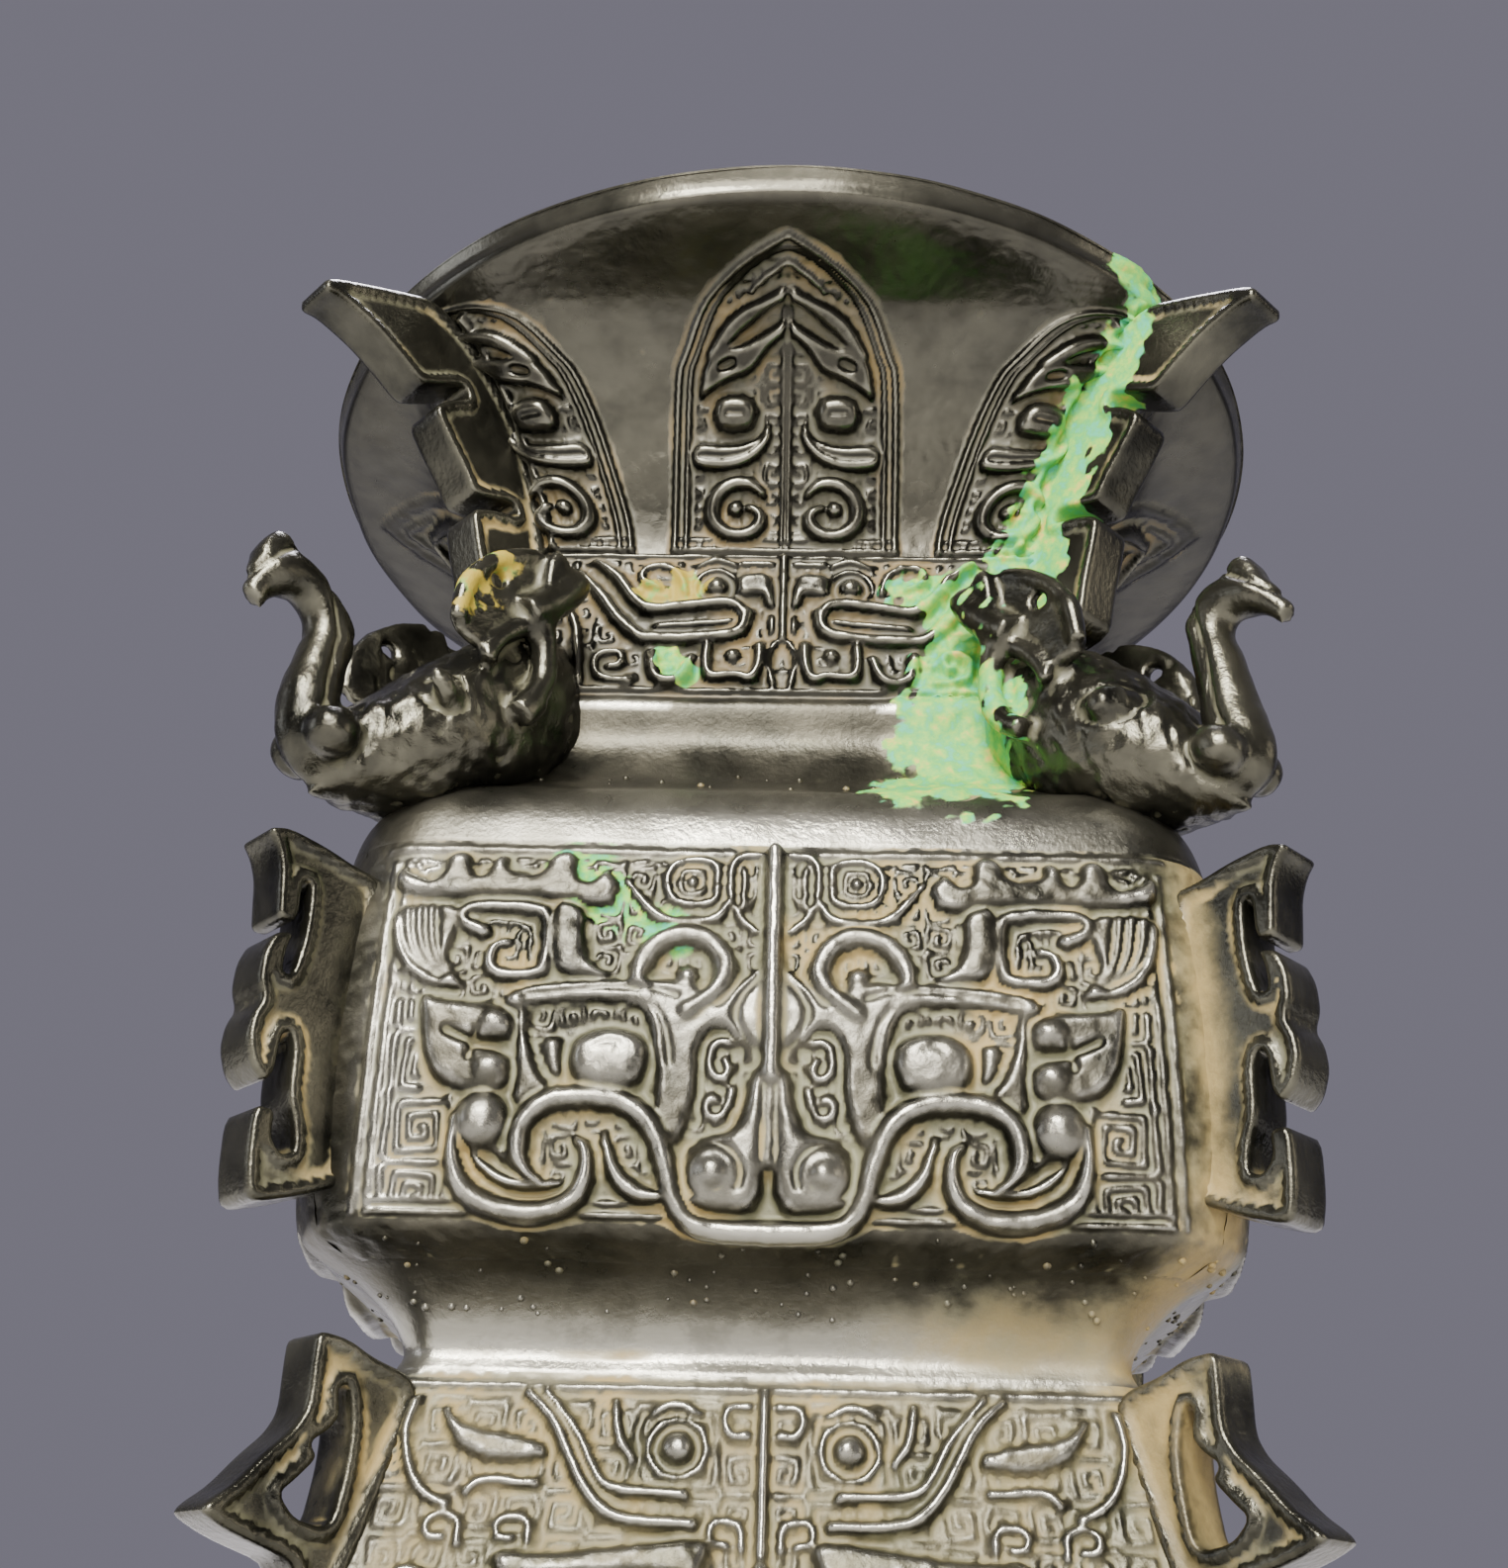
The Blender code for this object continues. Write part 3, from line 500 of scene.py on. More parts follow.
# %% Horns
def belly_horns(c):
    """The horns, and the frames above them."""
    c.ribbon([(10.5, 25.5, 3), (7.6, 27.5, 2.6), (5.9, 29.6), (5.9, 32.4), (8, 35.2), (11.4, 35.8),
              (14.6, 34.6), (16.4, 31.8), (16.8, 29.3, 2.6), (15.6, 28.6, 1.5)], 3.3, 2.5, 0.2)
    c.boss(10.6, 30.2, 1.6, 2.0)
    c.ribbon([(19, 43.6, 0.7), (17, 40.8, 1.4), (14.5, 38, 2.0), (11, 37.4, 2.2), (7, 38, 1.8), (5.6, 41, 1)],
             2.2, 1.8)
    c.ribbon([(1.7, 47.6), (5.4, 47.6), (5.8, 42.6), (4.9, 39), (2, 36.4, 1.2)], 1.2, 1.5)
    c.ribbon([(3.9, 45.6), (3.9, 39.6)], 1.1, 1.3)
    c.ribbon([(2.3, 46), (2.3, 42.2), (3, 40)], 0.8, 1.1)
    c.ribbon([(7.3, 44), (7.3, 46.9), (13.7, 46.9), (13.7, 40.3), (7.3, 40.3), (7.3, 43)], 1.1, 1.5)
    c.ribbon([(8.9, 44), (9.2, 45.4), (12.1, 45.2), (12.1, 41.7), (9, 41.8), (8.9, 43.4)], 0.9, 1.2)
    c.boss(10.5, 43.5, 1.0, 1.5)


print("horns drawn")

# %% [markdown]
# ## Ears, brows and eyes
#
# The ear is a plate with knobs on it. Forehead, brow, eye socket and cheek are one raised mass.
# The socket is then cut down again, so that the eye can bulge out of it. The order counts: each
# tool works on what the tools before it have left.

# %% Ears, brows and eyes
def belly_brows(c):
    """The ears, and the forehead, brows, eyes and cheeks."""
    c.plateau([(43.6, 27.6), (40, 26.5), (33.8, 26.3), (31.2, 24.8), (31.2, 22), (33.2, 20.9), (36.4, 20.9),
               (33.2, 20.5), (31.1, 19), (31.1, 16.6), (32.8, 14.9), (36.6, 15), (40.6, 16.6),
               (42.6, 20), (43.2, 24)], 2.3, 1.5)
    c.groove([(32.5, 20.8), (36, 20.9), (39.6, 22.4)], 1.1, 1.6)
    c.groove([(36.5, 19.2), (36.4, 21), (35.7, 22.8)], 1.0, 1.1)
    c.boss(34, 23.5, 2.2, 3.0, 1.25)
    c.boss(34, 18.1, 2.2, 3.0, 1.25)
    c.boss(34.4, 12.2, 3.7, 3.8)
    # forehead, brows, eye sockets and cheeks in one mass
    c.plateau([(0.5, 33), (4.6, 29.2), (6.8, 26.4), (8.4, 28.4), (10, 30), (20, 29.9), (29.4, 29.2),
               (33, 27.8), (33.2, 25.8), (31.4, 24.8), (29.6, 26), (24, 26.6), (18, 26.6), (15.3, 25),
               (14.8, 21), (13.8, 17), (14.8, 12), (14.4, 9.6), (11.4, 8.8), (9.6, 12), (8.6, 16),
               (8.6, 20), (7.8, 23), (5.4, 23.4), (0.5, 17.4)], 1.9, 1.3)
    c.groove([(11.6, 27.4), (14, 28.4), (20, 28.5), (30.6, 27.2)], 0.8, 0.6)
    c.groove([(14.6, 26.2), (12.8, 23.6), (12.2, 19)], 0.8, 0.5)
    c.plateau([(32, 28.6), (29.9, 28), (29.8, 22.5), (28.2, 18.4), (25.5, 15.6), (28.8, 15), (30.3, 12.6),
               (31.2, 15), (31, 20)], 1.6, 1.0)
    c.sink([(28.2, 22), (27.6, 18.6), (25.2, 15.9), (14.6, 15.4), (14.4, 20), (15.6, 24), (20, 25.4),
            (25.2, 24.6)], 0.25)
    c.plateau([(25.4, 22.2), (28.2, 22.2), (27.5, 18.8), (25.6, 17), (25.2, 18.6)], 1.3, 0.9)
    c.plateau([(14.2, 19.2), (14.8, 21.8), (17.4, 23.3), (21.4, 23.3), (24.2, 21.8), (24.8, 18.9),
               (23.6, 16.2), (19.6, 15.2), (16, 15.8)], 1.6, 1.7, 1.8)
    c.groove([(18.2, 20.8), (19.6, 21.2), (21, 20.6)], 0.6, 0.4)


print("ears, brows and eyes drawn")

# %% [markdown]
# ## Nose, lip and hooks
#
# The nose is a broad mound with a diamond on its bridge, curls beside it and round nostrils, and
# the keel runs up from it. The lip is one long ribbon round the mouth, and the hooks beside it
# are the widest ribbons of the mask.

# %% Nose, lip and hooks
def belly_nose(c):
    """The nose, the keel, the lip and the hooks."""
    c.groove([(0.9, 31.2), (5.6, 25.4), (0.9, 19.2)], 1.0, 0.9)
    c.ribbon([(4.6, 21.6, 0.8), (6.4, 22.2), (7.6, 20.4), (7.2, 18), (5.6, 17.4), (4.9, 18.8),
              (5.7, 19.8, 0.8)], 1.3, 1.5)
    c.ribbon([(4.6, 16.4), (5.2, 13.8), (6.8, 13), (8, 14.2), (7.2, 15.6), (6, 15, 0.8)], 1.2, 1.4)
    c.plateau([(0, 20.4), (2.4, 18.6), (3.2, 15.2), (4.4, 11.8), (8.2, 11), (10.4, 8.8), (10.8, 4.6),
               (8.8, 1.6), (0, 1.2)], 2.0, 1.8, 1.1)
    c.groove(arc(6.6, 6.7, 3.4, -0.9, 3.9, 0.3), 0.9, 0.9)
    c.boss(6.6, 6.7, 2.7, 4.1)
    c.ribbon([(0, 8), (0, 18.5)], 2.2, 2.7)
    c.ribbon([(0, 17.8), (0, 47.6)], 2.6, 3.4, 0.4)
    # the lip and the hooks
    c.ribbon([(27, 5.6, 0.8), (28.6, 6.4, 1.8), (30, 9), (29.5, 12.4), (27, 14.6), (22, 15.4), (17, 14.6),
              (13.8, 12), (12.2, 8), (11.2, 3.6), (9.5, 0.6), (7, -0.4), (0, -0.6)], 3.3, 3.0)
    c.ribbon([(37.6, 12.6, 1.2), (37.5, 7, 2.8), (35.2, 3.2, 3.6), (30.5, 1.3, 4.0), (26.2, 1.3, 3.8),
              (22.8, 3, 3.3), (21.4, 6.2, 2.6), (21.6, 9.4, 1.8), (22.8, 10.4, 0.9)], 3.8, 3.0)
    c.ribbon([(35.2, 8.6, 0.9), (32, 5.6, 1.9), (27.6, 4.8, 1.7), (24.4, 5.4, 0.8)], 1.8, 1.9)
    c.ribbon([(34.2, 10.2, 0.8), (31.4, 8.6, 1.6), (29.8, 6.6, 0.9)], 1.5, 1.7)
    c.ribbon([(19.6, 10.8, 0.8), (18.4, 6.8, 2.2), (15.8, 4.2, 3.1), (12.8, 3.8, 2.0)], 2.8, 2.3)


def belly_mask(c):
    """The whole mask, from its ground to its lip."""
    for part in (belly_panel, belly_horns, belly_brows, belly_nose):
        part(c)


print("belly mask drawn, in four parts")

# %% [markdown]
# ## Dragons on the neck
#
# A band of pairs of dragons goes round the neck. Each looks at the middle of its side with a
# round eye, and its long trunk-like snout runs outward in two parallel ribs.

# %% Neck dragons
def neck_dragons(c):
    """One dragon of a pair, and the lines along the band."""
    c.thunder([(0, 1.4), (41, 1.4), (41, 23.4), (0, 23.4)], 4.0, 0.6, 1.5)
    for v in (0.6, 24.2):
        c.ribbon([(0, v), (41, v)], 1.0, 0.8)
    c.ribbon([(0, 9.5), (0, 24)], 1.5, 1.7)
    c.eye(10.1, 18.2, 2.0, 2.2)
    c.ribbon([(7.2, 22.4, 0.7), (10.2, 23.4), (13, 22.2, 0.7)], 1.5, 1.5)
    c.plateau([(7.4, 20.4), (3, 21), (1.6, 19.8), (0.8, 14.2), (2.6, 14.8), (3.4, 16.6), (7, 16)], 2.0, 1.0)
    c.ribbon([(5.4, 13.6), (6, 10), (12, 9.2), (19, 8.9), (21.4, 9.2), (24.4, 12), (27.4, 16.4),
              (31, 20.7, 1)], 2.7, 2.3)
    c.ribbon([(5.6, 12.6), (7, 15.6), (14, 14.8), (20, 13.7), (22.6, 15.8), (25, 19.8), (28.8, 22.6, 1)],
             2.5, 2.3)
    c.ribbon([(7.6, 12.3), (18.6, 11.3)], 1.4, 1.6)
    c.ribbon([(14.6, 17.2, 0.8), (15.8, 21.4), (20.4, 22.3), (22, 19.4), (18.6, 18.2, 0.8)], 1.5, 1.6)
    c.ribbon([(19.4, 6.4), (18.9, 2), (14.8, 1.6), (13.3, 5.7)], 2.2, 2.1)
    c.ribbon([(3.3, 8), (3.4, 4.2), (4.7, 1.9), (6.4, 3.1), (10.6, 2.2), (11.3, 4.6), (11, 7.8)], 2.1, 2.1)
    c.boss(7.3, 6.6, 1.3, 1.6)
    c.ribbon([(22.4, 1.8), (27.4, 2.0), (27.8, 6.4), (23.6, 7), (23.7, 4.3), (25.6, 4.2)], 1.4, 1.7)
    c.ribbon([(29.8, 1.8), (30.6, 12), (34.6, 18)], 1.6, 1.6)
    c.ribbon([(33, 3), (36.4, 4), (36.6, 11), (33.6, 12.6)], 1.5, 1.6)
    c.ribbon([(1.3, 1.6), (2.4, 6.6), (0.9, 8.8)], 1.1, 1.4)
    c.ribbon([(1.6, 11), (1.6, 13)], 1.2, 1.4)
    c.ribbon([(1.6, 22.8), (6.4, 22.8)], 0.9, 1.2)


print("neck dragons drawn")

# %% [markdown]
# ## Leaves on the trumpet
#
# Eight pointed leaves rise from the neck towards the mouth, one in the middle of each side and
# one on each corner, where a flange covers its midrib. Each holds a small face: two eyes over a
# pair of scrolls, under two pairs of feathers. All eight are the same, so one drawing serves,
# once measured from the middle of the side and once from the corner.

# %% Leaves
LEAF = np.array([(16.8, 0), (16.8, 28), (15.5, 31), (13.2, 37.7), (10, 42.5), (5, 47.5), (0, 50.7)])


def half_leaf(c):
    """One half of a leaf, from its midrib outward."""
    inner = [(x, v) for x, v in LEAF - (2.9, 0)][:-1] + [(0, 47.2)]
    c.thunder([(0, 3.2)] + inner, 3.8, 0.6, 1.5)
    c.ribbon(LEAF.tolist(), 1.1, 1.0)
    c.ribbon([(x - 1.7 if x > 0 else 0, v - (0 if x > 0 else 1.9)) for x, v in LEAF], 1.0, 0.8)
    for v in (0.8, 2.5):
        c.ribbon([(0, v), (17, v)], 1.0, 0.8)
    c.ribbon([(0.5, 2), (0.5, 40)], 0.9, 1.1)
    c.ribbon([(0, 46.6), (3.8, 43.4), (5.6, 40.8, 0.8)], 1.2, 1.4)
    c.plateau([(0, 43), (3.5, 41), (6.9, 39), (9.8, 36.4), (12.7, 31.4), (12.4, 29.8), (9.4, 31.2), (7, 34.2),
               (4.2, 36.6), (1.5, 39), (0, 40)], 2.4, 1.2)
    c.plateau([(0, 37), (2.8, 35.4), (6.7, 33), (10.7, 32.6), (12.9, 29.8), (13.6, 24.8), (12.6, 24.4),
               (8.7, 27), (5.2, 28.2), (2.8, 32), (0, 34.2)], 2.4, 1.2)
    c.sink([(7.4, 30.4), (8.8, 31), (10.8, 29.6), (10.4, 28.6), (8.4, 29)], 0.7)
    c.plateau([(4.1, 22.4), (5, 24.9), (8, 25.5), (10.8, 24.7), (11.6, 22), (10.6, 19.4), (7.8, 18.8),
               (5, 19.6)], 1.7, 1.4, 1.7)
    c.groove([(6.8, 22.2), (9, 22.2)], 0.9, 0.7)
    c.plateau([(2.6, 21.6), (4, 18.8), (7.4, 17.3), (14.4, 18), (14.6, 13.4), (8.6, 12.8), (4.4, 14.6),
               (2, 18.2)], 2.3, 1.2)
    c.groove([(3.2, 18.8), (5.4, 16.4), (9, 15.2), (13.4, 15.5)], 0.8, 0.8)
    c.ribbon([(3.4, 9.8, 1.2), (5.4, 11.6, 2.6), (8.6, 11.4), (11, 9), (11.2, 5.6), (9, 3.2), (6, 3),
              (3.8, 4.8), (3.8, 7, 2), (5.6, 7.8, 1.2)], 3.0, 2.3)
    c.boss(7.6, 7.6, 1.4, 1.8)


print("leaf drawn:", len(LEAF), "points in its outline")

# %% [markdown]
# ## The mask on the foot
#
# The foot carries two facing dragons over a smaller mask. The photograph shows its upper half
# alone, so the lower half is finished in keeping with the belly.

# %% Foot mask
def foot_mask(c):
    """The dragon at the top of the foot and the mask below it."""
    c.thunder([(0, 3), (52, 3), (46, 41), (0, 41)], 5.0, 0.6, 1.9)
    for v in (1.0, 2.8, 42.2):
        c.ribbon([(0, v), (52, v)], 1.0, 0.8)
    c.eye(10, 35, 2.1, 2.2)
    c.ribbon([(7.4, 39, 0.7), (10.4, 40.4), (13, 39, 0.7)], 1.5, 1.5)
    c.ribbon([(15, 33.6, 0.8), (17, 36), (17.5, 40.4, 0.8)], 1.6, 1.6)
    c.ribbon([(28, 41.2, 1), (24.5, 38), (22, 33), (19.5, 29), (16.5, 26.6), (8, 26.4)], 2.0, 2.0)
    c.ribbon([(25.8, 41.4, 1), (21.5, 36.5), (19.3, 31.8), (17.3, 30), (9, 29.8)], 1.6, 1.8)
    c.plateau([(38.4, 40.4), (35, 37.2), (29, 36.4), (25, 35.4), (24.8, 33.2), (31, 32.4), (36.4, 34.6)],
              1.7, 1.0)
    c.ribbon([(33.8, 29.6), (32.4, 31.2), (26, 30.6)], 1.4, 1.5)
    c.ribbon([(36, 28), (40, 30), (42, 36), (41, 40)], 1.4, 1.5)
    for x in (36, 28, 4):
        c.ribbon([(x - 1.8, 23.8), (x - 1.8, 27), (x + 1.9, 27), (x + 1.9, 24.4), (x, 24.4)], 1.1, 1.3)
    c.ribbon([(1.6, 36.6), (4.6, 36.6), (4.6, 40), (1.6, 40)], 1.1, 1.3)
    c.ribbon([(0, 21), (0, 41.5)], 1.6, 1.9)
    c.ribbon([(0, 6), (0, 21.5)], 2.2, 2.6)
    # brow, eye, ear, cheek and lip of the mask
    c.plateau([(5, 25), (11, 24.7), (24, 22.9), (30.4, 23.4), (29.4, 19.4), (24, 19.7), (11, 20.6), (7, 19)],
              1.9, 1.2)
    c.plateau([(11.2, 18.4), (14, 19.6), (19, 18.8), (20.4, 15.6), (18.6, 12.6), (14, 12), (10.8, 14)],
              1.6, 1.5, 1.5)
    c.groove([(14, 15.9), (17, 15.9)], 0.6, 0.4)
    c.plateau([(24, 18.6), (34, 20.8), (35, 14), (32, 11), (25.2, 12.2)], 2.1, 1.3)
    c.boss(28.5, 15.6, 1.8, 2.6)
    c.plateau([(5, 19.4), (8.8, 19.8), (9.4, 13), (12, 8.2), (9, 6), (6, 12)], 1.8, 1.1)
    c.boss(4.8, 8.4, 2.1, 2.9)
    c.ribbon([(23, 5.4, 0.8), (26, 6), (27, 8.6), (24.8, 10.8), (18, 11), (13.6, 9.2), (11.2, 5.6),
              (8.4, 3.9), (0, 3.7)], 2.5, 2.6)
    c.ribbon([(37, 13, 1), (39, 8.4, 2.4), (35, 4.8, 2.6), (30.4, 4.6, 2), (28.8, 7.2), (30.4, 9, 0.8)],
             2.6, 2.4)
    c.ribbon([(42, 5), (41.6, 20), (37.6, 21), (37.8, 15.4)], 1.9, 1.8)


print("foot mask drawn")

# %% [markdown]
# ## Where the green crust grows
#
# Malachite has run down the corner by the right flange, from the lip over the neck to the ledge,
# with a branch across the neck band. It is a crust that stands up from the bronze, so it is also a
# shape: the wall rises under it by up to a millimetre, in lumps. The run is a path of points, each
# with its reach, and a crinkled field breaks its edge.

# %% Green crust
# each row is x, y, z and reach, in millimetres
GREEN_RUN = [(51, -62, 203.5, 6), (55, -56, 199, 7), (50, -50, 188, 8.5), (45, -47, 178, 9.5),
             (40, -44, 169, 10), (35.5, -43, 160, 11), (31, -43, 150, 12), (27, -43, 138, 13),
             (25, -45, 128, 15), (23, -49, 121, 15)]
GREEN_BRANCH = [(18, -43, 157, 5), (34, -43, 154, 8)]
GREEN_SPOT = [(-17, -43, 143.5, 3.4), (-14, -43, 141, 3)]
GREEN_FILM = [(-24, -59, 103, 6), (-21, -59, 97, 5), (-13, -59, 93, 4)]


def crinkled(points, size, seed):
    """An uneven field of about the given size in millimetres, between about -1 and 1."""
    ways = np.random.default_rng(seed).normal(size=(14, 3)) * 2.4 / size
    starts = np.random.default_rng(seed + 1).uniform(0, 6.28, 14)
    return np.sin(points @ ways.T + starts).sum(-1) / 3


def along(points, path):
    """How near each point is to a path of (x, y, z, reach): 1 on it and 0 at its reach."""
    best = np.zeros(len(points))
    for a, b in zip(np.array(path[:-1], float), np.array(path[1:], float)):
        step = b[:3] - a[:3]
        t = np.clip((points - a[:3]) @ step / (step @ step), 0, 1)
        far = np.linalg.norm(points - a[:3] - t[:, None] * step, axis=1)
        best = np.maximum(best, 1 - far / (a[3] + t * (b[3] - a[3])))
    return best


def malachite(points):
    """How fully the green crust covers each point, from 0 to 1."""
    near = np.max([along(points, path) for path in (GREEN_RUN, GREEN_BRANCH, GREEN_SPOT)], axis=0)
    if not near.any():
        return near
    ragged = near + (0.13 * crinkled(points, 5, 31) + 0.10 * crinkled(points, 1.7, 41)) * (near > 0.08)
    return np.clip(2.4 * ragged - 0.75, 0, 1)


def crust(points):
    """How thick the green crust is at each point of a grid, in millimetres."""
    flat = points.reshape(-1, 3)
    cover = malachite(flat)
    return (cover * (0.75 + 0.16 * crinkled(flat, 1.3, 43))).reshape(points.shape[:-1])


print("green crust drawn along", len(GREEN_RUN), "points")

# %% [markdown]
# ## The carved sides
#
# Each carved side is a grid of points on the wall, pushed out by its carving. The spacing is the
# size of the finest line there: three points across a ridge are enough to round it. The front is
# closest to the eye and gets the finest grid, and the whole vessel stays under a million triangles.

# %% Carved sides
proud = {}


def carved(name, low, high, origin, mask, quarter, step, rough):
    """One carved side, from a lowest to a highest height, with its drawing measured from the origin."""
    start, end = up_at(low), up_at(high)
    up = np.linspace(start, end, int(round((end - start) / step)))
    widest = max(on_wall(OUTSIDE, up[[0, -1, len(up) // 2]], np.array([1.0]))[1].ravel())
    share = np.linspace(-1, 1, int(round(2 * widest / step)))
    points, across = on_wall(OUTSIDE, up, share)
    out = straight_out(points)
    drawing = Carving(across, (up - up_at(origin))[:, None])
    mask(drawing)
    if mask is half_leaf:
        corner = Carving(np.abs(across[:, -1:]) - np.abs(across), (up - up_at(origin))[:, None])
        mask(corner)
        corner.ribbon([(4.9, 1, 1.4), (4.9, 44, 2.2)], 1.8, 1.8)
        drawing.height = np.maximum(drawing.height, corner.height)
    drawing.finish(step, rough)
    from_end = np.minimum(np.arange(len(up)), np.arange(len(up))[::-1])
    fade = np.minimum(1, from_end / 2)[:, None]
    place = turned(points, quarter)
    lift = drawing.height * fade + hand_made(place) + crust(place)
    points = turned(points + out * lift[..., None], quarter)
    proud[name] = drawing.height.ravel()
    piece(name, points, grid_faces(*across.shape))


# name, lowest and highest height, height where the drawing starts, drawing, spacing of the points
# in front and elsewhere, and how uneven the surface is
BANDS = [("foot", 0, 42, 0, foot_mask, 0.40, 0.76, 0.05),
         ("belly", 53.5, 106.5, 57, belly_mask, 0.30, 0.62, 0.05),
         ("band", 138, 163.5, 138.6, neck_dragons, 0.30, 0.6, 0.05),
         ("leaves", 163.3, 199.6, 163.3, half_leaf, 0.40, 0.76, 0.022)]
for quarter, side in enumerate(["front", "right", "back", "left"]):
    for name, low, high, origin, mask, fine, coarse, rough in BANDS:
        carved(name + "_" + side, low, high, origin, mask, quarter, coarse if quarter else fine, rough)
print(len(pieces), "carved sides,", sum(len(p.data.polygons) for p in pieces), "faces")

# %% [markdown]
# ## The plain parts of the wall
#
# Between the carved bands the wall is smooth: the hollow under the belly, the rounded shoulder,
# the lip, the inside and the hollow foot. Each is one ring of the wall, all the way round. Its
# ends go a little way under the carved sides, so that no gap can open between them.

# %% Plain rings
INSIDE = np.array([
    (203.6, 81.2, 81.1), (204, 80.7, 80.6), (204, 79.5, 79.4), (203.4, 78.6, 77), (202.7, 77.3, 71.1),
    (198.8, 61.8, 33), (192.3, 53.3, 21.5), (180, 44.7, 10.9), (163.7, 39, 5), (138.4, 39, 5),
    (122.9, 41.4, 5.6), (117.4, 46.6, 6.8), (115.1, 50.8, 8.2),
    (103.8, 55.2, 9.5), (80.7, 56.4, 9.5), (57.9, 54.7, 9.5), (54.7, 48.9, 5.5), (51.0, 46.0, 5.4),
    (48.5, 40, 5), (48.45, 20, 4), (48.4, 0.5, 0.4)])
UNDER = np.array([
    (0, 58, 9), (-0.02, 55.0, 6), (4.8, 54.4, 5.7), (19.1, 48, 3.7), (42.5, 41.8, 3.4), (44.3, 40, 3.3),
    (44.5, 20, 2), (44.5, 0.5, 0.3)])


def plain_ring(name, rows, low, high, step, columns, tuck=0.0):
    """A smooth ring of the wall between two distances along its rows. Its ends are tucked in so far."""
    up = np.linspace(low, high, int(round((high - low) / step)) + 1)
    sunk = np.zeros(len(up))
    if tuck:
        up = np.concatenate([[low - tuck], up, [high + tuck]])
        sunk = np.concatenate([[0.35], sunk, [0.35]])
    share = np.linspace(-1, 1, columns + 1)[:-1]
    points, across = on_wall(rows, up, share)
    out = straight_out(points)
    sides = []
    for quarter in range(4):
        place = turned(points, quarter)
        lift = hand_made(place) - sunk[:, None]
        if rows is OUTSIDE:
            lift = lift + crust(place)
        sides.append(turned(points + out * lift[..., None], quarter))
    points = np.concatenate(sides, 1)
    piece(name, points, grid_faces(len(up), points.shape[1], True))


plain_ring("waist", OUTSIDE, up_at(42), up_at(53.6), 0.7, 90, 0.8)
plain_ring("shoulder", OUTSIDE, up_at(106.4), up_at(138.1), 0.8, 90, 0.8)
plain_ring("lip", OUTSIDE, up_at(199.5), length_up(OUTSIDE)[-1], 0.5, 90)
plain_ring("brim", INSIDE, 0, 6, 0.4, 90)
plain_ring("inside", INSIDE, 5.8, length_up(INSIDE)[-1], 3, 40)
plain_ring("foot_hollow", UNDER, 0, length_up(UNDER)[-1], 2.6, 36)
print("plain rings made;", len(pieces), "pieces so far")

# %% [markdown]
# ## Casting beads
#
# Bubbles that clung to the mould left small beads of metal on the underside of the belly, where
# nobody filed them off, and fewer of them on the ledge of the shoulder. Each is a low dome, half a
# millimetre to a millimetre wide.

# %% Beads
def beads(name, count, low, high, seed):
    """Small domes scattered over the wall between two heights, all the way round."""
    random = np.random.default_rng(seed)
    turn = np.arange(8)[:, None] * math.pi / 4
    points, faces = [], []
    for first in range(0, 25 * count, 25):
        up, share = random.uniform(up_at(low), up_at(high)), random.uniform(-1, 1)
        radius = random.uniform(0.22, 0.55)
        quarter = int(random.integers(4))
        grid, _ = on_wall(OUTSIDE, up + np.array([-0.1, 0, 0.1]), share + np.array([-0.002, 0, 0.002]))
        out, middle = straight_out(grid)[1, 1], grid[1, 1]
        side = np.cross(out, (0, 0, 1))
        side /= np.linalg.norm(side)
        ring = np.cos(turn) * side + np.sin(turn) * np.cross(side, out)
        rows = [middle + radius * (wide * ring + tall * out)
                for wide, tall in ((1.1, -0.3), (0.9, 0.35), (0.5, 0.75))]
        place = turned(np.concatenate(rows + [(middle + out * radius * 0.9)[None]]), quarter)
        points.append(place + turned(out, quarter) * hand_made(place)[:, None])
        faces += [[first + corner for corner in face] for face in grid_faces(3, 8, True)]
        faces += [(first + 16 + k, first + 16 + (k + 1) % 8, first + 24) for k in range(8)]
    piece(name, np.concatenate(points), faces)


beads("beads_under", 200, 48.5, 56.5, 5)
beads("beads_ledge", 160, 119, 124.5, 6)
print("casting beads made")

# %% [markdown]
# ## Flanges
#
# A flange is a plate that stands on a corner of the vessel, cut into hooks and lobes. There are
# three kinds, one above another. Each is first drawn as an outline, in millimetres out along the
# diagonal and up. The foot's flange also has a gap that goes right through it.

# %% Flange outlines
BELLY_FLANGE = [
    (75.0, 61.6), (76.3, 61), (82, 58.6), (87.5, 56.9), (88.5, 61), (88.8, 68.3), (85.9, 68.3), (86, 65),
    (84.4, 63.2), (82.7, 63.8), (83.2, 67), (84.6, 70.5), (84.8, 76.2), (85.6, 78.2), (86.7, 77.4),
    (86.8, 72.6), (88, 71.2), (89.8, 72.8), (91, 76), (90.8, 79), (89.8, 81.2), (90.8, 83.6),
    (90.7, 87.2), (89.6, 89.9), (87.1, 90.6), (87.8, 88), (87.9, 85.2), (86.5, 85.2), (85.6, 90.6),
    (85.8, 97.6), (87, 97.6), (86.9, 92), (89.5, 91.8), (89.9, 95), (90.3, 98.6), (91.3, 101.2),
    (92.8, 103.1), (90, 104), (84.5, 103.2), (80, 102), (75.0, 101.4)]
NECK_FLANGE = [
    (54, 147.5), (65, 148.5), (66.4, 155), (68.1, 160.3), (69.2, 164.7), (65.6, 166.5), (60.8, 167.4),
    (62, 169.8), (67.2, 167.8), (69.5, 167.7), (71.7, 171.1), (74.9, 174.8), (78, 179), (74.8, 182.2),
    (72, 183.6), (73.2, 186), (78.4, 182.8), (80.7, 181.8), (85, 184.5), (89.6, 187), (95.5, 188.8),
    (98.2, 188.5), (98.6, 190.6), (88, 195.3), (80.4, 198.3), (72, 194.5), (62, 184), (57, 172), (54.5, 160)]
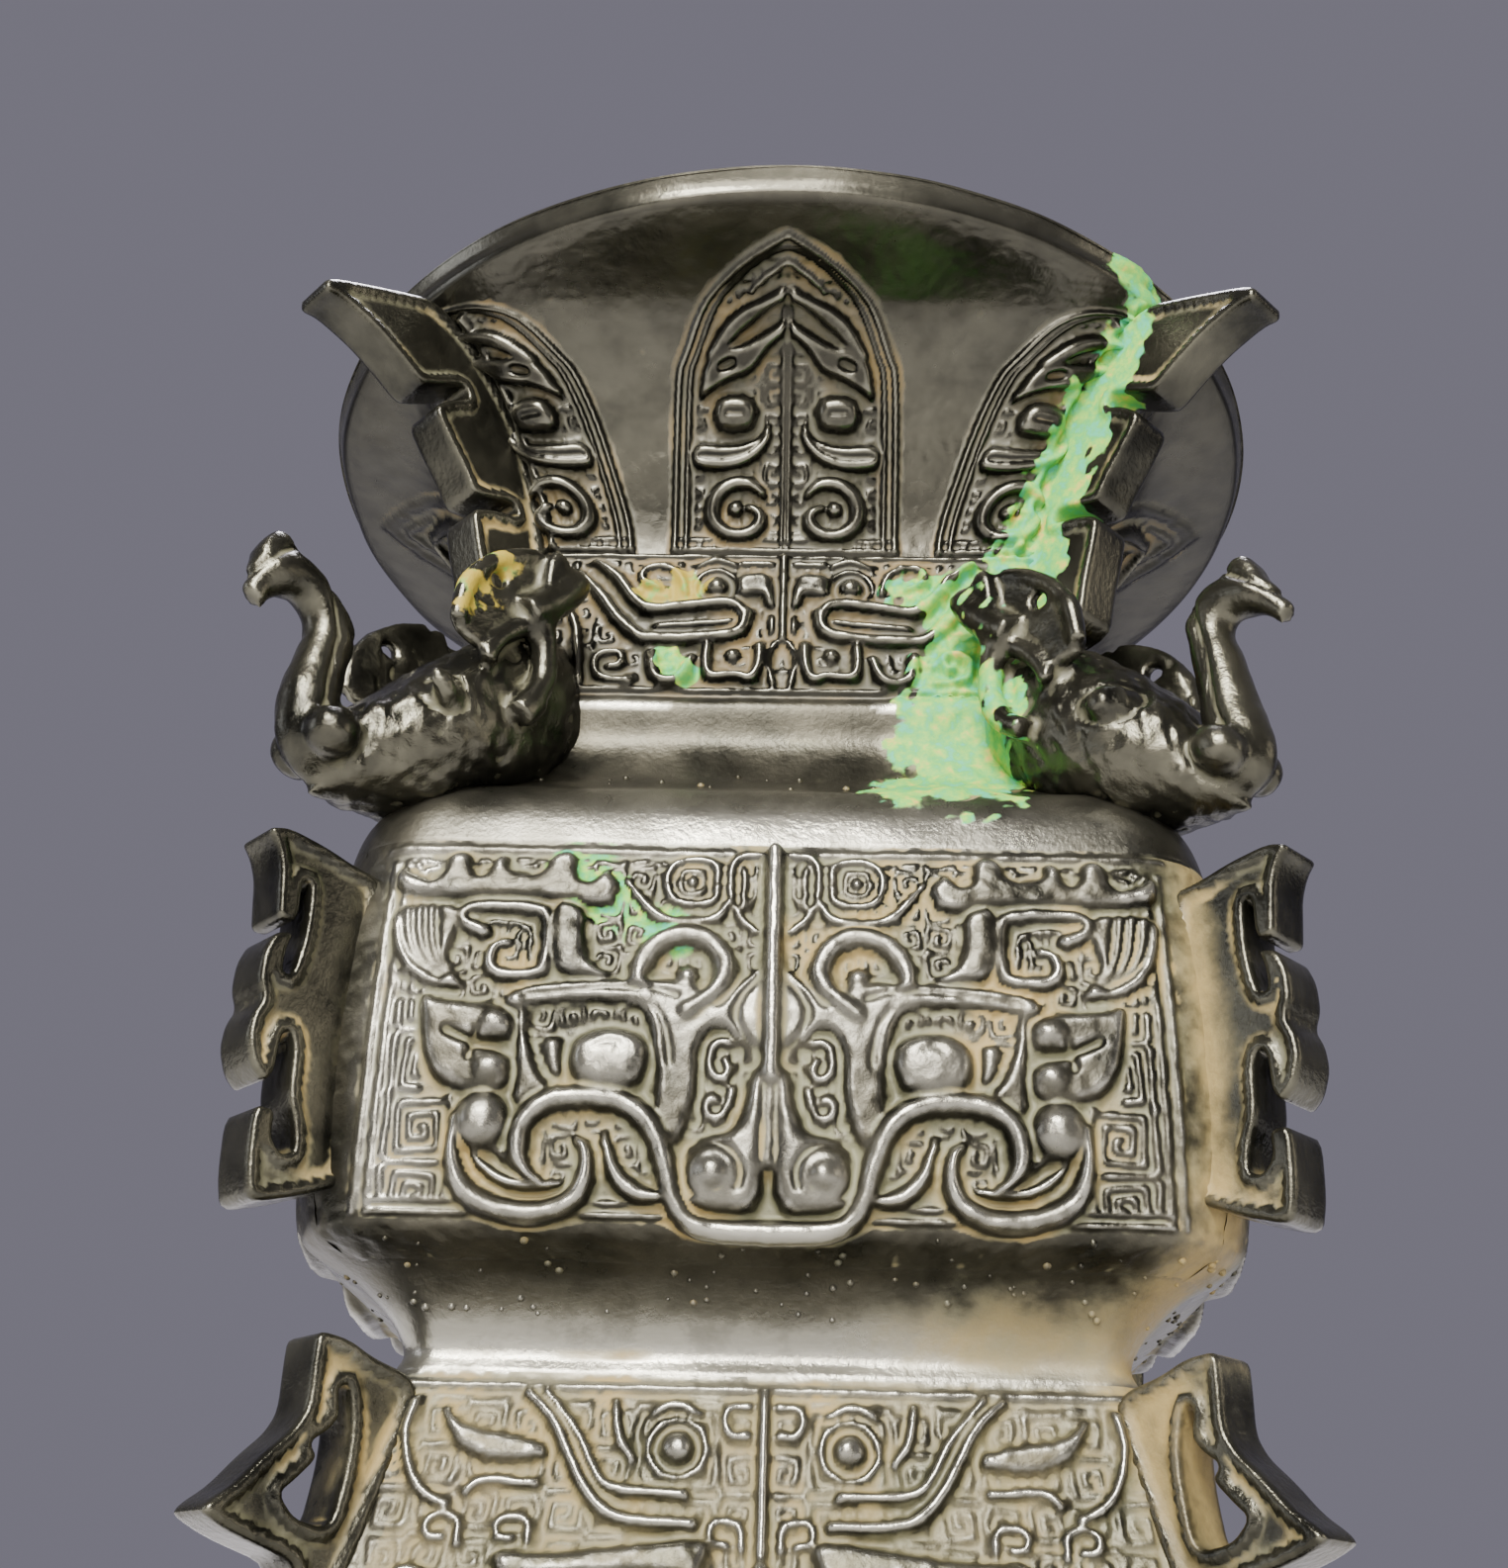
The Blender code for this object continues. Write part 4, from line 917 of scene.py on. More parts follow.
FOOT_FLANGE = [
    (76.4, 5.4), (85.4, 5.8), (85, 15.6), (81.6, 15.6), (81, 10), (78.6, 10), (76.2, 14.6), (74.4, 19.6),
    (83, 22), (87.2, 23.9), (86.6, 25), (83.6, 27.2), (80.6, 30.6), (77.6, 33.4), (76.2, 36), (76.3, 41),
    (76.2, 44.4), (72, 44), (68.4, 42.4), (63.4, 41.2), (61.5, 39), (66, 26), (72.5, 8)]
FOOT_GAP = [(71.4, 23.4), (75.9, 24.1), (78.3, 26.5), (76.5, 28.1), (74.1, 30.6), (75.3, 32.2),
            (73, 33.8), (71.9, 35.4), (72.6, 38.4), (71.2, 39), (70.2, 34.6), (70.3, 30)]
print("flange outlines of", len(BELLY_FLANGE), len(NECK_FLANGE), "and", len(FOOT_FLANGE), "points")

# %% [markdown]
# ## A net inside an outline
#
# The outline is filled with a fine net of points, joined into triangles. Three close rows follow
# each edge, so that the rounding there has points to bend at.

# %% A net inside an outline
def spaced(loop, step):
    """A closed outline with a point at least every step."""
    loop = np.asarray(loop, float)
    points = []
    for a, b in zip(loop, np.roll(loop, -1, 0)):
        count = max(1, int(math.ceil(np.linalg.norm(b - a) / step)))
        points += [a + (b - a) * k / count for k in range(count)]
    return np.array(points)


def depth_inside(loops, points):
    """How deep points lie inside the first outline and outside the others."""
    field = Face(points[:, 0], points[:, 1])
    depths = [field.depth_in(loop.tolist(), slice(None)) for loop in loops]
    return np.min([depths[0]] + [-d for d in depths[1:]], axis=0)


def filled(loops, step):
    """A flat net of points and triangles inside the outlines, with three close rows along each edge."""
    rows, edges, first = list(loops), [], 0
    for inset in (0.16, 0.42, 0.8):
        for loop in loops:
            edge = np.roll(loop, -1, 0) - np.roll(loop, 1, 0)
            normal = np.stack([-edge[:, 1], edge[:, 0]], 1) / np.linalg.norm(edge, axis=1)[:, None]
            for way in (1, -1):
                moved = loop + way * inset * normal
                rows.append(moved[depth_inside(loops, moved) > 0.9 * inset])
    low, high = np.concatenate(loops).min(0), np.concatenate(loops).max(0)
    net = np.stack(np.meshgrid(np.arange(low[0], high[0], step), np.arange(low[1], high[1], step)), -1)
    net[1::2, :, 0] += step / 2
    net = net.reshape(-1, 2)
    rows.append(net[depth_inside(loops, net) > 1.05])
    for loop in loops:
        edges += [(first + k, first + (k + 1) % len(loop)) for k in range(len(loop))]
        first += len(loop)
    points = [Vector(p) for p in np.concatenate(rows)]
    flat, _, triangles, *_ = delaunay_2d_cdt(points, edges, [], 0, 1e-7, False)
    flat = np.array([tuple(p) for p in flat])
    triangles = np.array([t for t in triangles if len(t) == 3])
    return flat, triangles[depth_inside(loops, flat[triangles].mean(1)) > 1e-4]


SQUARE = [(0, 0), (6, 0), (6, 6), (0, 6)]
edge = spaced(SQUARE, 0.6)
print("the outline of a 6 mm square gets", len(edge), "points, and its net",
      len(filled([edge], 0.6)[1]), "triangles")

# %% [markdown]
# ## Two faces and a rim
#
# The half thickness at each point comes from its distance to the outline, so the edges come out
# rounded. Two such faces, joined by rows of points round the rim, close the plate.

# %% Two faces and a rim
def plate(loops, half_thick, step):
    """A plate's points (out, sideways, up) and faces. half_thick turns depth inside into half thickness."""
    loops = [spaced(softened(loop, 0.8, True), step) for loop in loops]
    flat, triangles = filled(loops, step)
    half = half_thick(np.maximum(depth_inside(loops, flat), 0))
    near = np.stack([flat[:, 0], -half, flat[:, 1]], 1)
    sides = triangles[:, [0, 1, 1, 2, 2, 0]].reshape(-1, 2)
    _, where, times = np.unique(np.sort(sides, 1), axis=0, return_index=True, return_counts=True)
    border = sides[where[times == 1]]
    rim = np.unique(border)
    count = len(flat)
    row_of = np.zeros(count, int)
    row_of[rim] = np.arange(len(rim))
    # the two faces of the plate, and six rows of points that join them round the edge
    points, rows = [near, near * (1, -1, 1)], [np.arange(count)]
    for share in (0.8, 0.5, 0.2, -0.2, -0.5, -0.8):
        rows.append(sum(map(len, points)) + row_of)
        points.append(near[rim] * (1, share, 1))
    rows = [row.tolist() for row in rows + [np.arange(count) + count]]
    band = [(here[b], here[a], after[a], after[b])
            for here, after in zip(rows, rows[1:]) for a, b in border.tolist()]
    return np.concatenate(points), triangles.tolist() + (triangles[:, ::-1] + count).tolist() + band


def round_edge(depth, radius):
    """How much a rounded edge takes off the half thickness at a distance from the outline."""
    return radius * (1 - shaped(depth / radius))


tile = plate([SQUARE], lambda depth: 2 - round_edge(depth, 0.5), 0.6)
print("a tile of that square has", len(tile[1]), "faces")

# %% [markdown]
# ## Twelve flanges
#
# The sides of a flange have a raised border round a sunken field. One of each kind is made and
# carried to the four corners. Those behind have a coarser net, since they are seen from further off.

# %% Flanges
FLANGE_HALF = 3.8


def flange_side(depth):
    """Half thickness of a flange: rounded edges, a raised border and a sunken field."""
    field = np.clip((depth - 1.35) / 0.45, 0, 1)
    return FLANGE_HALF - round_edge(depth, 0.7) - 0.75 * field


def on_corner(points, quarter):
    """Points given as (out along the diagonal, sideways, up) on the front left corner, turned on."""
    out, side, up = np.moveaxis(points, -1, 0)
    s = math.sqrt(0.5)
    return turned(np.stack([s * (side - out), -s * (side + out), up], -1), quarter)


CORNERS = ["front_left", "front_right", "back_right", "back_left"]
for name, loops in (("belly", [BELLY_FLANGE]), ("neck", [NECK_FLANGE]), ("foot", [FOOT_FLANGE, FOOT_GAP])):
    fine, coarse = plate(loops, flange_side, 0.65), plate(loops, flange_side, 1.0)
    for quarter, corner in enumerate(CORNERS):
        points, faces = fine if quarter < 2 else coarse
        piece(name + "_flange_" + corner, on_corner(points, quarter), faces)
    print(name, "flange:", len(fine[1]), "faces in front and", len(coarse[1]), "behind")

# %% [markdown]
# ## Elephants
#
# Each elephant is one lump of wax: a head that grows out of the shoulder, a trunk that rises and
# ends in a bird's head, two stubs of tusks and two ears. It starts as simple closed shapes that
# overlap, each a tube through rings of points. They are measured out along the diagonal, to the
# side of it, and up.

# %% Head and lip
def tube_of(rings):
    """A closed tube through rings of points, each of the same count."""
    count = len(rings[0])
    points = np.concatenate(rings)
    faces = grid_faces(len(rings), count, True)
    faces += [list(range(count))[::-1], list(range(count * (len(rings) - 1), count * len(rings)))]
    return points, faces


def head_shape():
    """The head, from where it grows out of the shoulder to the root of the trunk."""
    rings = []
    turn = np.linspace(0, 2 * math.pi, 28, endpoint=False)
    for out, low, high, wide in ((50, 124, 146, 9), (53.5, 121, 149, 11), (60, 117.4, 147.2, 12.8),
                                 (67, 115.4, 142, 13.4), (73, 114.6, 136.4, 12.4), (78, 114.4, 131, 10),
                                 (81.5, 114.8, 127, 7.6), (84, 116, 123.4, 5)):
        side = wide * np.sign(np.cos(turn)) * np.abs(np.cos(turn)) ** 0.85
        up = (low + high) / 2 + (high - low) / 2 * np.sign(np.sin(turn)) * np.abs(np.sin(turn)) ** 0.85
        rings.append(np.stack([np.full(28, out), side, up], 1))
    return tube_of(rings)


def lip_shape():
    """The lower lip: a scoop that holds the root of the trunk and runs out to a point."""
    rings = []
    sweep = np.linspace(-math.pi / 2, math.pi / 2, 14)
    for out, low, high, wide in ((70, 113.4, 121, 11), (75, 112.8, 122.6, 10.4), (78.6, 112.4, 121, 9),
                                 (82, 112, 117.4, 6.6), (84.6, 111.6, 114, 3.6), (86.4, 111.3, 112.7, 1.2)):
        thick = min(1.5, 0.8 * wide)
        outer = np.stack([wide * np.sin(sweep), high - (high - low) * np.cos(sweep)], 1)
        deep = max(0.2, high - low - thick)
        inner = np.stack([(wide - thick) * np.sin(sweep), high - deep * np.cos(sweep)], 1)
        loop = np.concatenate([outer, inner[::-1]])
        rings.append(np.concatenate([np.full((28, 1), out), loop], 1))
    return tube_of(rings)


head = head_shape()
print("the head is a tube of", len(head[1]), "faces")

# %% [markdown]
# ## Pipes and balls
#
# The trunk, the rolled edges of the ears and the arms below them are round pipes, each along a
# path whose radius changes. The eyes and the stubs of the tusks are balls.

# %% Pipes and balls
# the middle of an eye: out, to the side and up
EYE_OUT, EYE_SIDE, EYE_UP = 74.0, 11.8, 127.2


def pipe_shape(path, side=0.0):
    """A round pipe along a path of (out, up, radius), so far to one side of the diagonal."""
    path = np.array(path, float)
    t = np.arange(len(path))
    fine = np.linspace(0, len(path) - 1, 8 * len(path))
    out, up, radius = (through(fine, t, path[:, k]) for k in range(3))
    turn = np.linspace(0, 2 * math.pi, 20, endpoint=False)
    along = np.stack([np.gradient(out), np.gradient(up)], 1)
    along /= np.linalg.norm(along, axis=1)[:, None]
    rings = []
    for o, u, r, (a, b) in zip(out, up, radius, along):
        round_path = r * np.cos(turn)
        rings.append(np.stack([o - b * round_path, side + r * np.sin(turn), u + a * round_path], 1))
    return tube_of(rings)


def ball_shape(out, side, up, radius):
    """A ball."""
    rings = []
    turn = np.linspace(0, 2 * math.pi, 16, endpoint=False)
    for k in np.linspace(-1.45, 1.45, 9):
        flat = radius * math.cos(k)
        rings.append(np.stack([np.full(16, out + radius * math.sin(k)), side + flat * np.cos(turn),
                               up + flat * np.sin(turn)], 1))
    return tube_of(rings)


print("an eye is a ball of", len(ball_shape(EYE_OUT, EYE_SIDE, EYE_UP, 2.6)[1]), "faces")

# %% [markdown]
# ## Ears and crest
#
# An ear is a pierced plate with a rolled edge and a square bar behind it, and two arms run round
# the hollow below it. The bird on the trunk has a thick crest over its brow.

# %% Ears and crest
CREST = [(88.8, 141.6), (90.4, 144.8), (92.2, 147.0), (94.2, 147.0), (95.8, 144.6), (96.6, 141.0), (92, 140)]
EAR = [(73, 136), (72.6, 141), (70.4, 146), (66, 150.2), (61, 153), (57.6, 153), (57.4, 142.5), (62, 141.5),
       (64.5, 138), (66, 134)]
EAR_HOLE = [(65.8, 144.8), (68.4, 145.2), (68.0, 148), (65.6, 147.6)]
EAR_BAR = [(56.4, 153.6), (60.2, 154.2), (60.8, 141.4), (57.0, 141.4)]
EAR_ROLLS = [
    [(72.8, 137, 1.2), (72.2, 142, 1.4), (69.8, 146.6, 1.4), (65.6, 150.6, 1.4), (60.6, 153, 1.5)],
    [(62.6, 142.2, 2.3), (59.6, 144.6, 2.5), (56.8, 147.6, 2.7), (55.0, 150.6, 2.7), (54.6, 151.8, 2.4)],
    [(60.4, 142.6, 2.5), (58.6, 139.6, 2.0), (57.8, 134.8, 1.8), (59.4, 129.8, 1.9), (62.8, 126.6, 1.7)],
    [(60.4, 142, 2.2), (63.6, 139.4, 1.5), (66, 136.4, 1.4), (67.4, 133, 1.3)]]


def ear_shapes(way):
    """One ear: a pierced plate in a rolled edge, a square bar, a knob and two arms round a hollow."""
    shapes = []
    for loops, thick, edge, side in (([EAR, EAR_HOLE], 1.1, 0.4, 13.4), ([EAR_BAR], 2.3, 0.7, 14.4)):
        points, faces = plate(loops, lambda depth: thick - round_edge(depth, edge), 0.8)
        points[:, 1] = way * (side + 0.05 * (points[:, 2] - 140) + points[:, 1])
        shapes.append((points, faces if way > 0 else [list(f)[::-1] for f in faces]))
    for roll, side in zip(EAR_ROLLS, (14.2, 15.4, 14.6, 14.0)):
        shapes.append(pipe_shape(roll, way * side))
    return shapes


ears = ear_shapes(1) + ear_shapes(-1)
crest = plate([CREST], lambda depth: 2.3 - round_edge(depth, 1.2), 0.8)
print("two ears of", len(ears) // 2, "shapes each, and a crest")

# %% [markdown]
# ## One skin of wax
#
# A voxel remesh joins shapes that overlap into one skin, as fingers blend wax. Drawing each point
# towards the middle of its neighbours then smooths the skin.

# %% One skin
def numbers(items, name, each, kind=float):
    """What Blender keeps under a name for the points or edges of a mesh, one row for each."""
    values = np.empty(len(items) * each, kind)
    items.foreach_get(name, values)
    return values.reshape(-1, each)


def joined(shapes, voxel):
    """One skin round shapes that overlap, as points and faces."""
    points, faces, first = [], [], 0
    for some_points, some_faces in shapes:
        points.append(some_points)
        faces += [[first + k for k in face] for face in some_faces]
        first += len(some_points)
    mesh = bpy.data.meshes.new("wax")
    mesh.from_pydata(np.concatenate(points).tolist(), [], faces)
    lump = bpy.data.objects.new("wax", mesh)
    bpy.context.scene.collection.objects.link(lump)
    remesh = lump.modifiers.new("skin", "REMESH")
    remesh.mode = "VOXEL"
    remesh.voxel_size = voxel
    skin = lump.evaluated_get(bpy.context.evaluated_depsgraph_get()).to_mesh()
    points = numbers(skin.vertices, "co", 3)
    faces = [tuple(p.vertices) for p in skin.polygons]
    bpy.data.objects.remove(lump)
    bpy.data.meshes.remove(mesh)
    return points, faces


def relaxed(points, edges, times):
    """Points drawn towards the middle of their neighbours, as a warm thumb smooths wax."""
    a, b = edges.T
    count = np.bincount(a, minlength=len(points)) + np.bincount(b, minlength=len(points))
    for _ in range(times):
        total = [np.bincount(a, points[b, k], len(points)) + np.bincount(b, points[a, k], len(points))
                 for k in range(3)]
        points = 0.5 * points + 0.5 * np.stack(total, 1) / count[:, None]
    return points


print("the head alone gets a skin of", len(joined([head], 2.0)[1]), "faces of 2 mm")

# %% [markdown]
# ## The whole elephant
#
# Head, lip, trunk, crest, tusks, eyes and ears go into one lump. Two skins are made of it: a fine
# one for the elephants in front and a coarser one for those behind.

# %% The whole elephant
TRUNK = [(74, 121.6, 4.4), (79, 120.4, 4.7), (84.4, 117.6, 4.7), (87.3, 119.2, 4.7), (87.8, 123.8, 4.3),
         (87.1, 130, 3.7), (86.0, 136.2, 3.4), (87.4, 140.0, 3.3), (90.4, 141.8, 3.3), (93.2, 141.2, 3.3),
         (95.4, 139.4, 2.5), (96.8, 137.2, 1.7), (97.8, 135.8, 1.5)]
WAX = [head, lip_shape(), pipe_shape(TRUNK), crest,
       ball_shape(86.8, 5.2, 118.3, 3.7), ball_shape(86.8, -5.2, 118.3, 3.7),
       ball_shape(EYE_OUT, EYE_SIDE, EYE_UP, 2.6), ball_shape(EYE_OUT, -EYE_SIDE, EYE_UP, 2.6), *ears]


def wax_skin(voxel):
    """The elephant's skin at that fineness, a little smoothed."""
    points, faces = joined(WAX, voxel)
    edges = np.array([(a, b) for face in faces for a, b in zip(face, face[1:] + face[:1])])
    return relaxed(points, np.unique(np.sort(edges, 1), axis=0), 2), faces


fine, coarse = wax_skin(0.6), wax_skin(0.85)
print("elephant skin of", len(WAX), "shapes:", len(fine[1]), "faces in front and", len(coarse[1]), "behind")

# %% [markdown]
# ## Eyes and hide
#
# The fine things are pressed into the skin by place: an almond line round each eye, a channel up
# the trunk, a crease under the bird's crest, and dimples and creases all over the hide.

# %% Eyes and hide
def out_of(points, faces):
    """The direction out of the skin at each point."""
    quads = np.array([f if len(f) == 4 else (*f, f[-1]) for f in faces])
    across = np.cross(points[quads[:, 2]] - points[quads[:, 0]], points[quads[:, 3]] - points[quads[:, 1]])
    total = np.stack([sum(np.bincount(quads[:, c], across[:, k], len(points)) for c in range(4))
                      for k in range(3)], 1)
    return total / (np.linalg.norm(total, axis=1)[:, None] + 1e-12)


def bell(distance, reach):
    """1 where the distance is nothing, falling to 0.37 at the reach and to nothing past it."""
    return np.exp(-(distance / reach) ** 2)


def pressed(points, faces):
    """The skin with its eyes, creases and hide."""
    out, side, up = points.T
    normal = out_of(points, faces)
    a, b = out - EYE_OUT, up - EYE_UP
    almond = np.hypot(a / 1.35, b) + 0.10 * np.abs(a)
    on_side = np.clip((np.abs(side) - 6) / 2, 0, 1) * (np.abs(side) < 13.6)
    line = (0.20 * bell(almond - 4.0, 0.4) - 0.25 * bell(almond - 3.3, 0.4)) * on_side
    trunk = (up > 121) & (up < 143) & (out > 83)
    channel = -0.6 * bell(out - 86.6 + 0.10 * (up - 132), 0.6) * trunk * (np.abs(side) > 1.2)
    crest = -0.5 * bell(up - 141.6 + 0.9 * (out - 95), 0.5) * (out > 91)
    hide = np.clip((86 - out) / 3, 0, 1) * np.clip((150 - up) / 4, 0, 1) * (np.abs(side) < 14)
    dents = 0.11 * crinkled(points, 1.6, 11) - 0.20 * np.clip(crinkled(points, 2.6, 5) - 0.8, 0, 1)
    return points + normal * (line + channel + crest + dents * hide + 0.05 * crinkled(points, 3, 21))[:, None]


fine, coarse = [(pressed(*skin), skin[1]) for skin in (fine, coarse)]
print("eyes and hide pressed into", len(fine[0]), "and", len(coarse[0]), "points")

# %% [markdown]
# ## No two trunks alike
#
# The left trunk in front leans further out than the right one, and so do its bird and its ears,
# so each elephant's are shifted by their own amounts. The tusk on the side of the next elephant
# lies closer to the trunk.

# %% Four elephants
# how far out the trunk, the bird and the ears lean, and how far up the bird is, in millimetres
LEANS = {"front_left": (0.8, 3.0, 3.4, 0), "front_right": (-2.4, -1.2, -1.4, 1.6),
         "back_right": (-0.8, 0.6, 0.5, 0.6), "back_left": (0, 0, 1, 0)}
for quarter, corner in enumerate(CORNERS):
    points, faces = fine if quarter < 2 else coarse
    out, side, up = points.T
    trunk_lean, bird_lean, ear_lean, lift = LEANS[corner]
    beyond = np.clip(out - 80, 0, 4) / 4
    out = out + beyond * (trunk_lean * np.clip((up - 112) / 14, 0, 1)
                          + bird_lean * np.clip((up - 134) / 9, 0, 1))
    out = out + ear_lean * np.clip((np.abs(side) - 11.4) / 1.6, 0, 1) * np.clip((up - 122) / 8, 0, 1)
    up = up + lift * beyond * np.clip((up - 126) / 10, 0, 1)
    tucked = (side * (1 if quarter % 2 else -1) > 0) * np.clip((124 - up) / 4, 0, 1) * beyond
    side = side * (1 - 0.3 * tucked)
    piece("elephant_" + corner, on_corner(np.stack([out, side, up], 1), quarter), faces)
print(len(pieces), "pieces,", sum(len(p.data.polygons) for p in pieces), "faces in all")

# %% [markdown]
# ## Where dirt lies, where hands rub, and where sheen is painted
#
# Buried bronze keeps earth in its hollows, and handling polishes what stands proud. Each point is
# compared with the surface after it has been smoothed: a point that lies below it is in a hollow,
# one above it is on an edge. The result is kept on the mesh as a number named lie, in
# millimetres, and the materials read it. Four more numbers say where a green crust, a yellow
# powder and ochre earth lie on this vessel, and where it is worn bright or carries a painted sheen.

# %% Hollows, crust and powder
# each row is x, y, z and reach, in millimetres
YELLOW_SPOTS = np.array([(-44, -61, 143.5, 8), (-40, -59.5, 149, 4.5), (-15, -43, 157, 5.5),
                         (-20, -43, 156, 4.5), (45, -56, 147, 6), (50, -45, 144, 6)])


def lie_of(mesh, points):
    """How far each point lies below the surface once that is smoothed, in millimetres."""
    edges = numbers(mesh.edges, "vertices", 2, int)
    size = np.median(np.linalg.norm(points[edges[:, 0]] - points[edges[:, 1]], axis=1))
    smooth = relaxed(points, edges, int(np.clip(2.2 / size ** 2, 3, 30)))
    return ((smooth - points) * numbers(mesh.vertices, "normal", 3)).sum(1)


def green_of(points, lie):
    """The crust, and a thin green film in the hollows near one brow."""
    film = along(points, GREEN_FILM)
    film = np.clip(2 * film + 0.3 * crinkled(points, 2, 71), 0, 1) * (film > 0)
    return np.maximum(malachite(points), 0.24 * film * np.clip(lie / 0.1, 0, 1))


def yellow_of(points):
    """Spots of yellow powder."""
    near = np.max([1 - np.linalg.norm(points - spot[:3], axis=1) / spot[3] for spot in YELLOW_SPOTS], axis=0)
    return np.clip(near + 0.12 * crinkled(points, 2.5, 51), 0, 1) * (near > 0)


print(len(YELLOW_SPOTS), "spots of yellow powder")

# %% [markdown]
# ## Earth and wear
#
# Ochre earth lies at the roots of the lower flanges, on the foot and on the right of the waist.
# Hands have worn bright what stands proud on the masks, and that wear carries a painted highlight as well.
# Bands round the vessel, the left corners of the belly, its forehead and the smooth flare between the
# leaves are painted lighter: a painted sheen. Both belong to this vessel alone, so they are placed one
# by one, with soft edges.

# %% Earth and wear
# painted sheen bands on the waist, shoulder, neck and rim: height, reach up, reach to the sides, strength
SHEEN_BANDS = [(45.6, 4.2, 90, 1.6), (110, 5, 34, 1), (134.6, 3.2, 90, 1), (203.5, 3, 90, 1)]


def ochre_of(name, points, lie):
    """Earth at the roots of the lower flanges, on the foot, on the right of the waist and in hollows."""
    x, y, z = points.T
    off = (np.abs(x) - np.abs(y)) / math.sqrt(2)
    more_on_right = np.clip(0.8 + x / 200, 0.5, 1) if "flange" in name else np.clip(0.3 + x / 60, 0.2, 1)
    inward = np.clip((np.where(z < 44, 78, 86) - np.hypot(x, y)) / 7, 0, 1)
    root = bell(off, 8) * inward * (z < 106) * more_on_right
    foot = 0.55 * (z < 42) * (np.abs(off) > 5)
    waist = bell(z - 47, 6) * np.clip((x - 2) / 24, 0, 1)
    rust = (0.5 + 0.3 * crinkled(points, 9, 61)) * np.clip(lie / 0.08, 0, 1)
    return np.max([root, waist, foot, rust], axis=0)


def worn_and_sheen_of(name, points):
    """Painted sheen on bands round the vessel, the left belly corners, the forehead and the upper flare; wear
    with painted highlight on what stands proud.
    """
    x, y, z = points.T
    sideways, outward = np.sort(np.abs(points[:, :2]), 1).T
    # painted sheen: bands round the vessel
    worn_and_sheen = np.max([most * bell(z - height, tall) * bell(sideways, wide)
                   for height, tall, wide, most in SHEEN_BANDS], axis=0) * (outward > 43)
    if "flange" not in name:
        off = np.abs(np.abs(x) - np.abs(y)) / math.sqrt(2)
        # painted sheen: a bright stripe down the left corners of the belly
        worn_and_sheen = np.maximum(worn_and_sheen, 0.8 * bell(off - 9, 3) * (z > 58) * (z < 106) * (x < 0))
    if name.startswith("leaves"):
        # painted sheen: the smooth flare between the leaves, lighter towards the lip
        worn_and_sheen = np.maximum(worn_and_sheen, 0.3 * (proud[name] < 0.3) * np.clip((z - 168) / 16, 0, 1))
    if name.startswith(("belly_", "foot_")) and name in proud:
        # painted sheen on the forehead, and wear with a painted highlight on what stands proud
        forehead = 0.5 * bell(x, 22) * bell(z - 84, 7) * (proud[name] > 1.2)
        worn_and_sheen = np.max([worn_and_sheen, np.clip((proud[name] - 2.3) / 1.7, 0, 0.5), forehead], axis=0)
    return worn_and_sheen


print(len(SHEEN_BANDS), "bright bands")

# %% [markdown]
# ## Numbers on the meshes
#
# Each number becomes an attribute of the mesh, with one value for each point. The elephants get
# neither ochre earth nor the wear and painted sheen, since hands have polished them all over.

# %% Numbers on the meshes
for made in pieces:
    name, mesh = made.name, made.data
    points = numbers(mesh.vertices, "co", 3) / MM
    on_wall_or_flange = not name.startswith("elephant")
    lie = lie_of(mesh, points) * (0.2 if "beads" in name else 1)
    # the last number holds wear together with painted sheen and painted highlight
    for kind, values in (("lie", lie), ("green", green_of(points, lie)), ("yellow", yellow_of(points)),
                         ("ochre", ochre_of(name, points, lie) * on_wall_or_flange),
                         ("worn_and_sheen", worn_and_sheen_of(name, points) * on_wall_or_flange)):
        mesh.attributes.new(kind, "FLOAT", "POINT").data.foreach_set("value", values.astype(np.float32))
print("weathering written on", len(pieces), "pieces")

# %% [markdown]
# ## Cast tin bronze, malachite and earth
#
# The metal is cast tin bronze that has gone dark with age. Its skin is smooth where hands have
# rubbed it and pitted elsewhere, and it is painted lighter and smoother where a painted sheen lies.
# Dried earth fills the hollows of the carving, dull and tan, and malachite, the green crust of
# copper, runs down one corner. All of them lie on the same skin, so one material mixes them. Four
# noises of 14, 6, 2.4 and 0.9 mm break up every edge. The pits of a real casting are a few tenths of
# a millimetre wide, and the finest noise draws them coarser, so that they show.
#
# Out of the noises and the numbers on the mesh come shares from 0 to 1, such as how rubbed or painted
# with sheen, or how earthy a point is. The tables below list them in the order in which each one is made from
# others.
# The shares then mix the colours, the shine and the metal.

# %% Shares
NUMBERS = ("lie", "green", "yellow", "ochre", "worn_and_sheen")
# a noise, and its scale: a pattern's size in metres is 1 / scale
NOISES = (("cloudy", 70), ("patchy", 160), ("spotty", 420), ("fine", 1100))
# a number with its edge broken by a noise: factor x noise + number
BROKEN = (("low", "fine", 0.16, "lie"), ("crusty", "fine", 0.16, "green"),
          ("dusty", "spotty", 1, "yellow"), ("mottled", "patchy", 1.1, "ochre"))
# while the second goes from low to high, the first goes smoothly from start to end
LEVELS = (("edge", "low", 0, -0.34, 0, 1), ("hollow", "low", 0.11, 0.32, 0, 1),
          ("sheltered", "low", -0.17, 0.13, 0, 1), ("held", "patchy", 0.30, 0.66, 0.45, 1),
          ("settled", "cloudy", 0.30, 0.55, 0.45, 0.95), ("caked", "mottled", 0.86, 1.5, 0, 0.92),
          ("crust", "crusty", 0.13, 0.30, 0, 1), ("powder", "dusty", 0.86, 1, 0, 1))
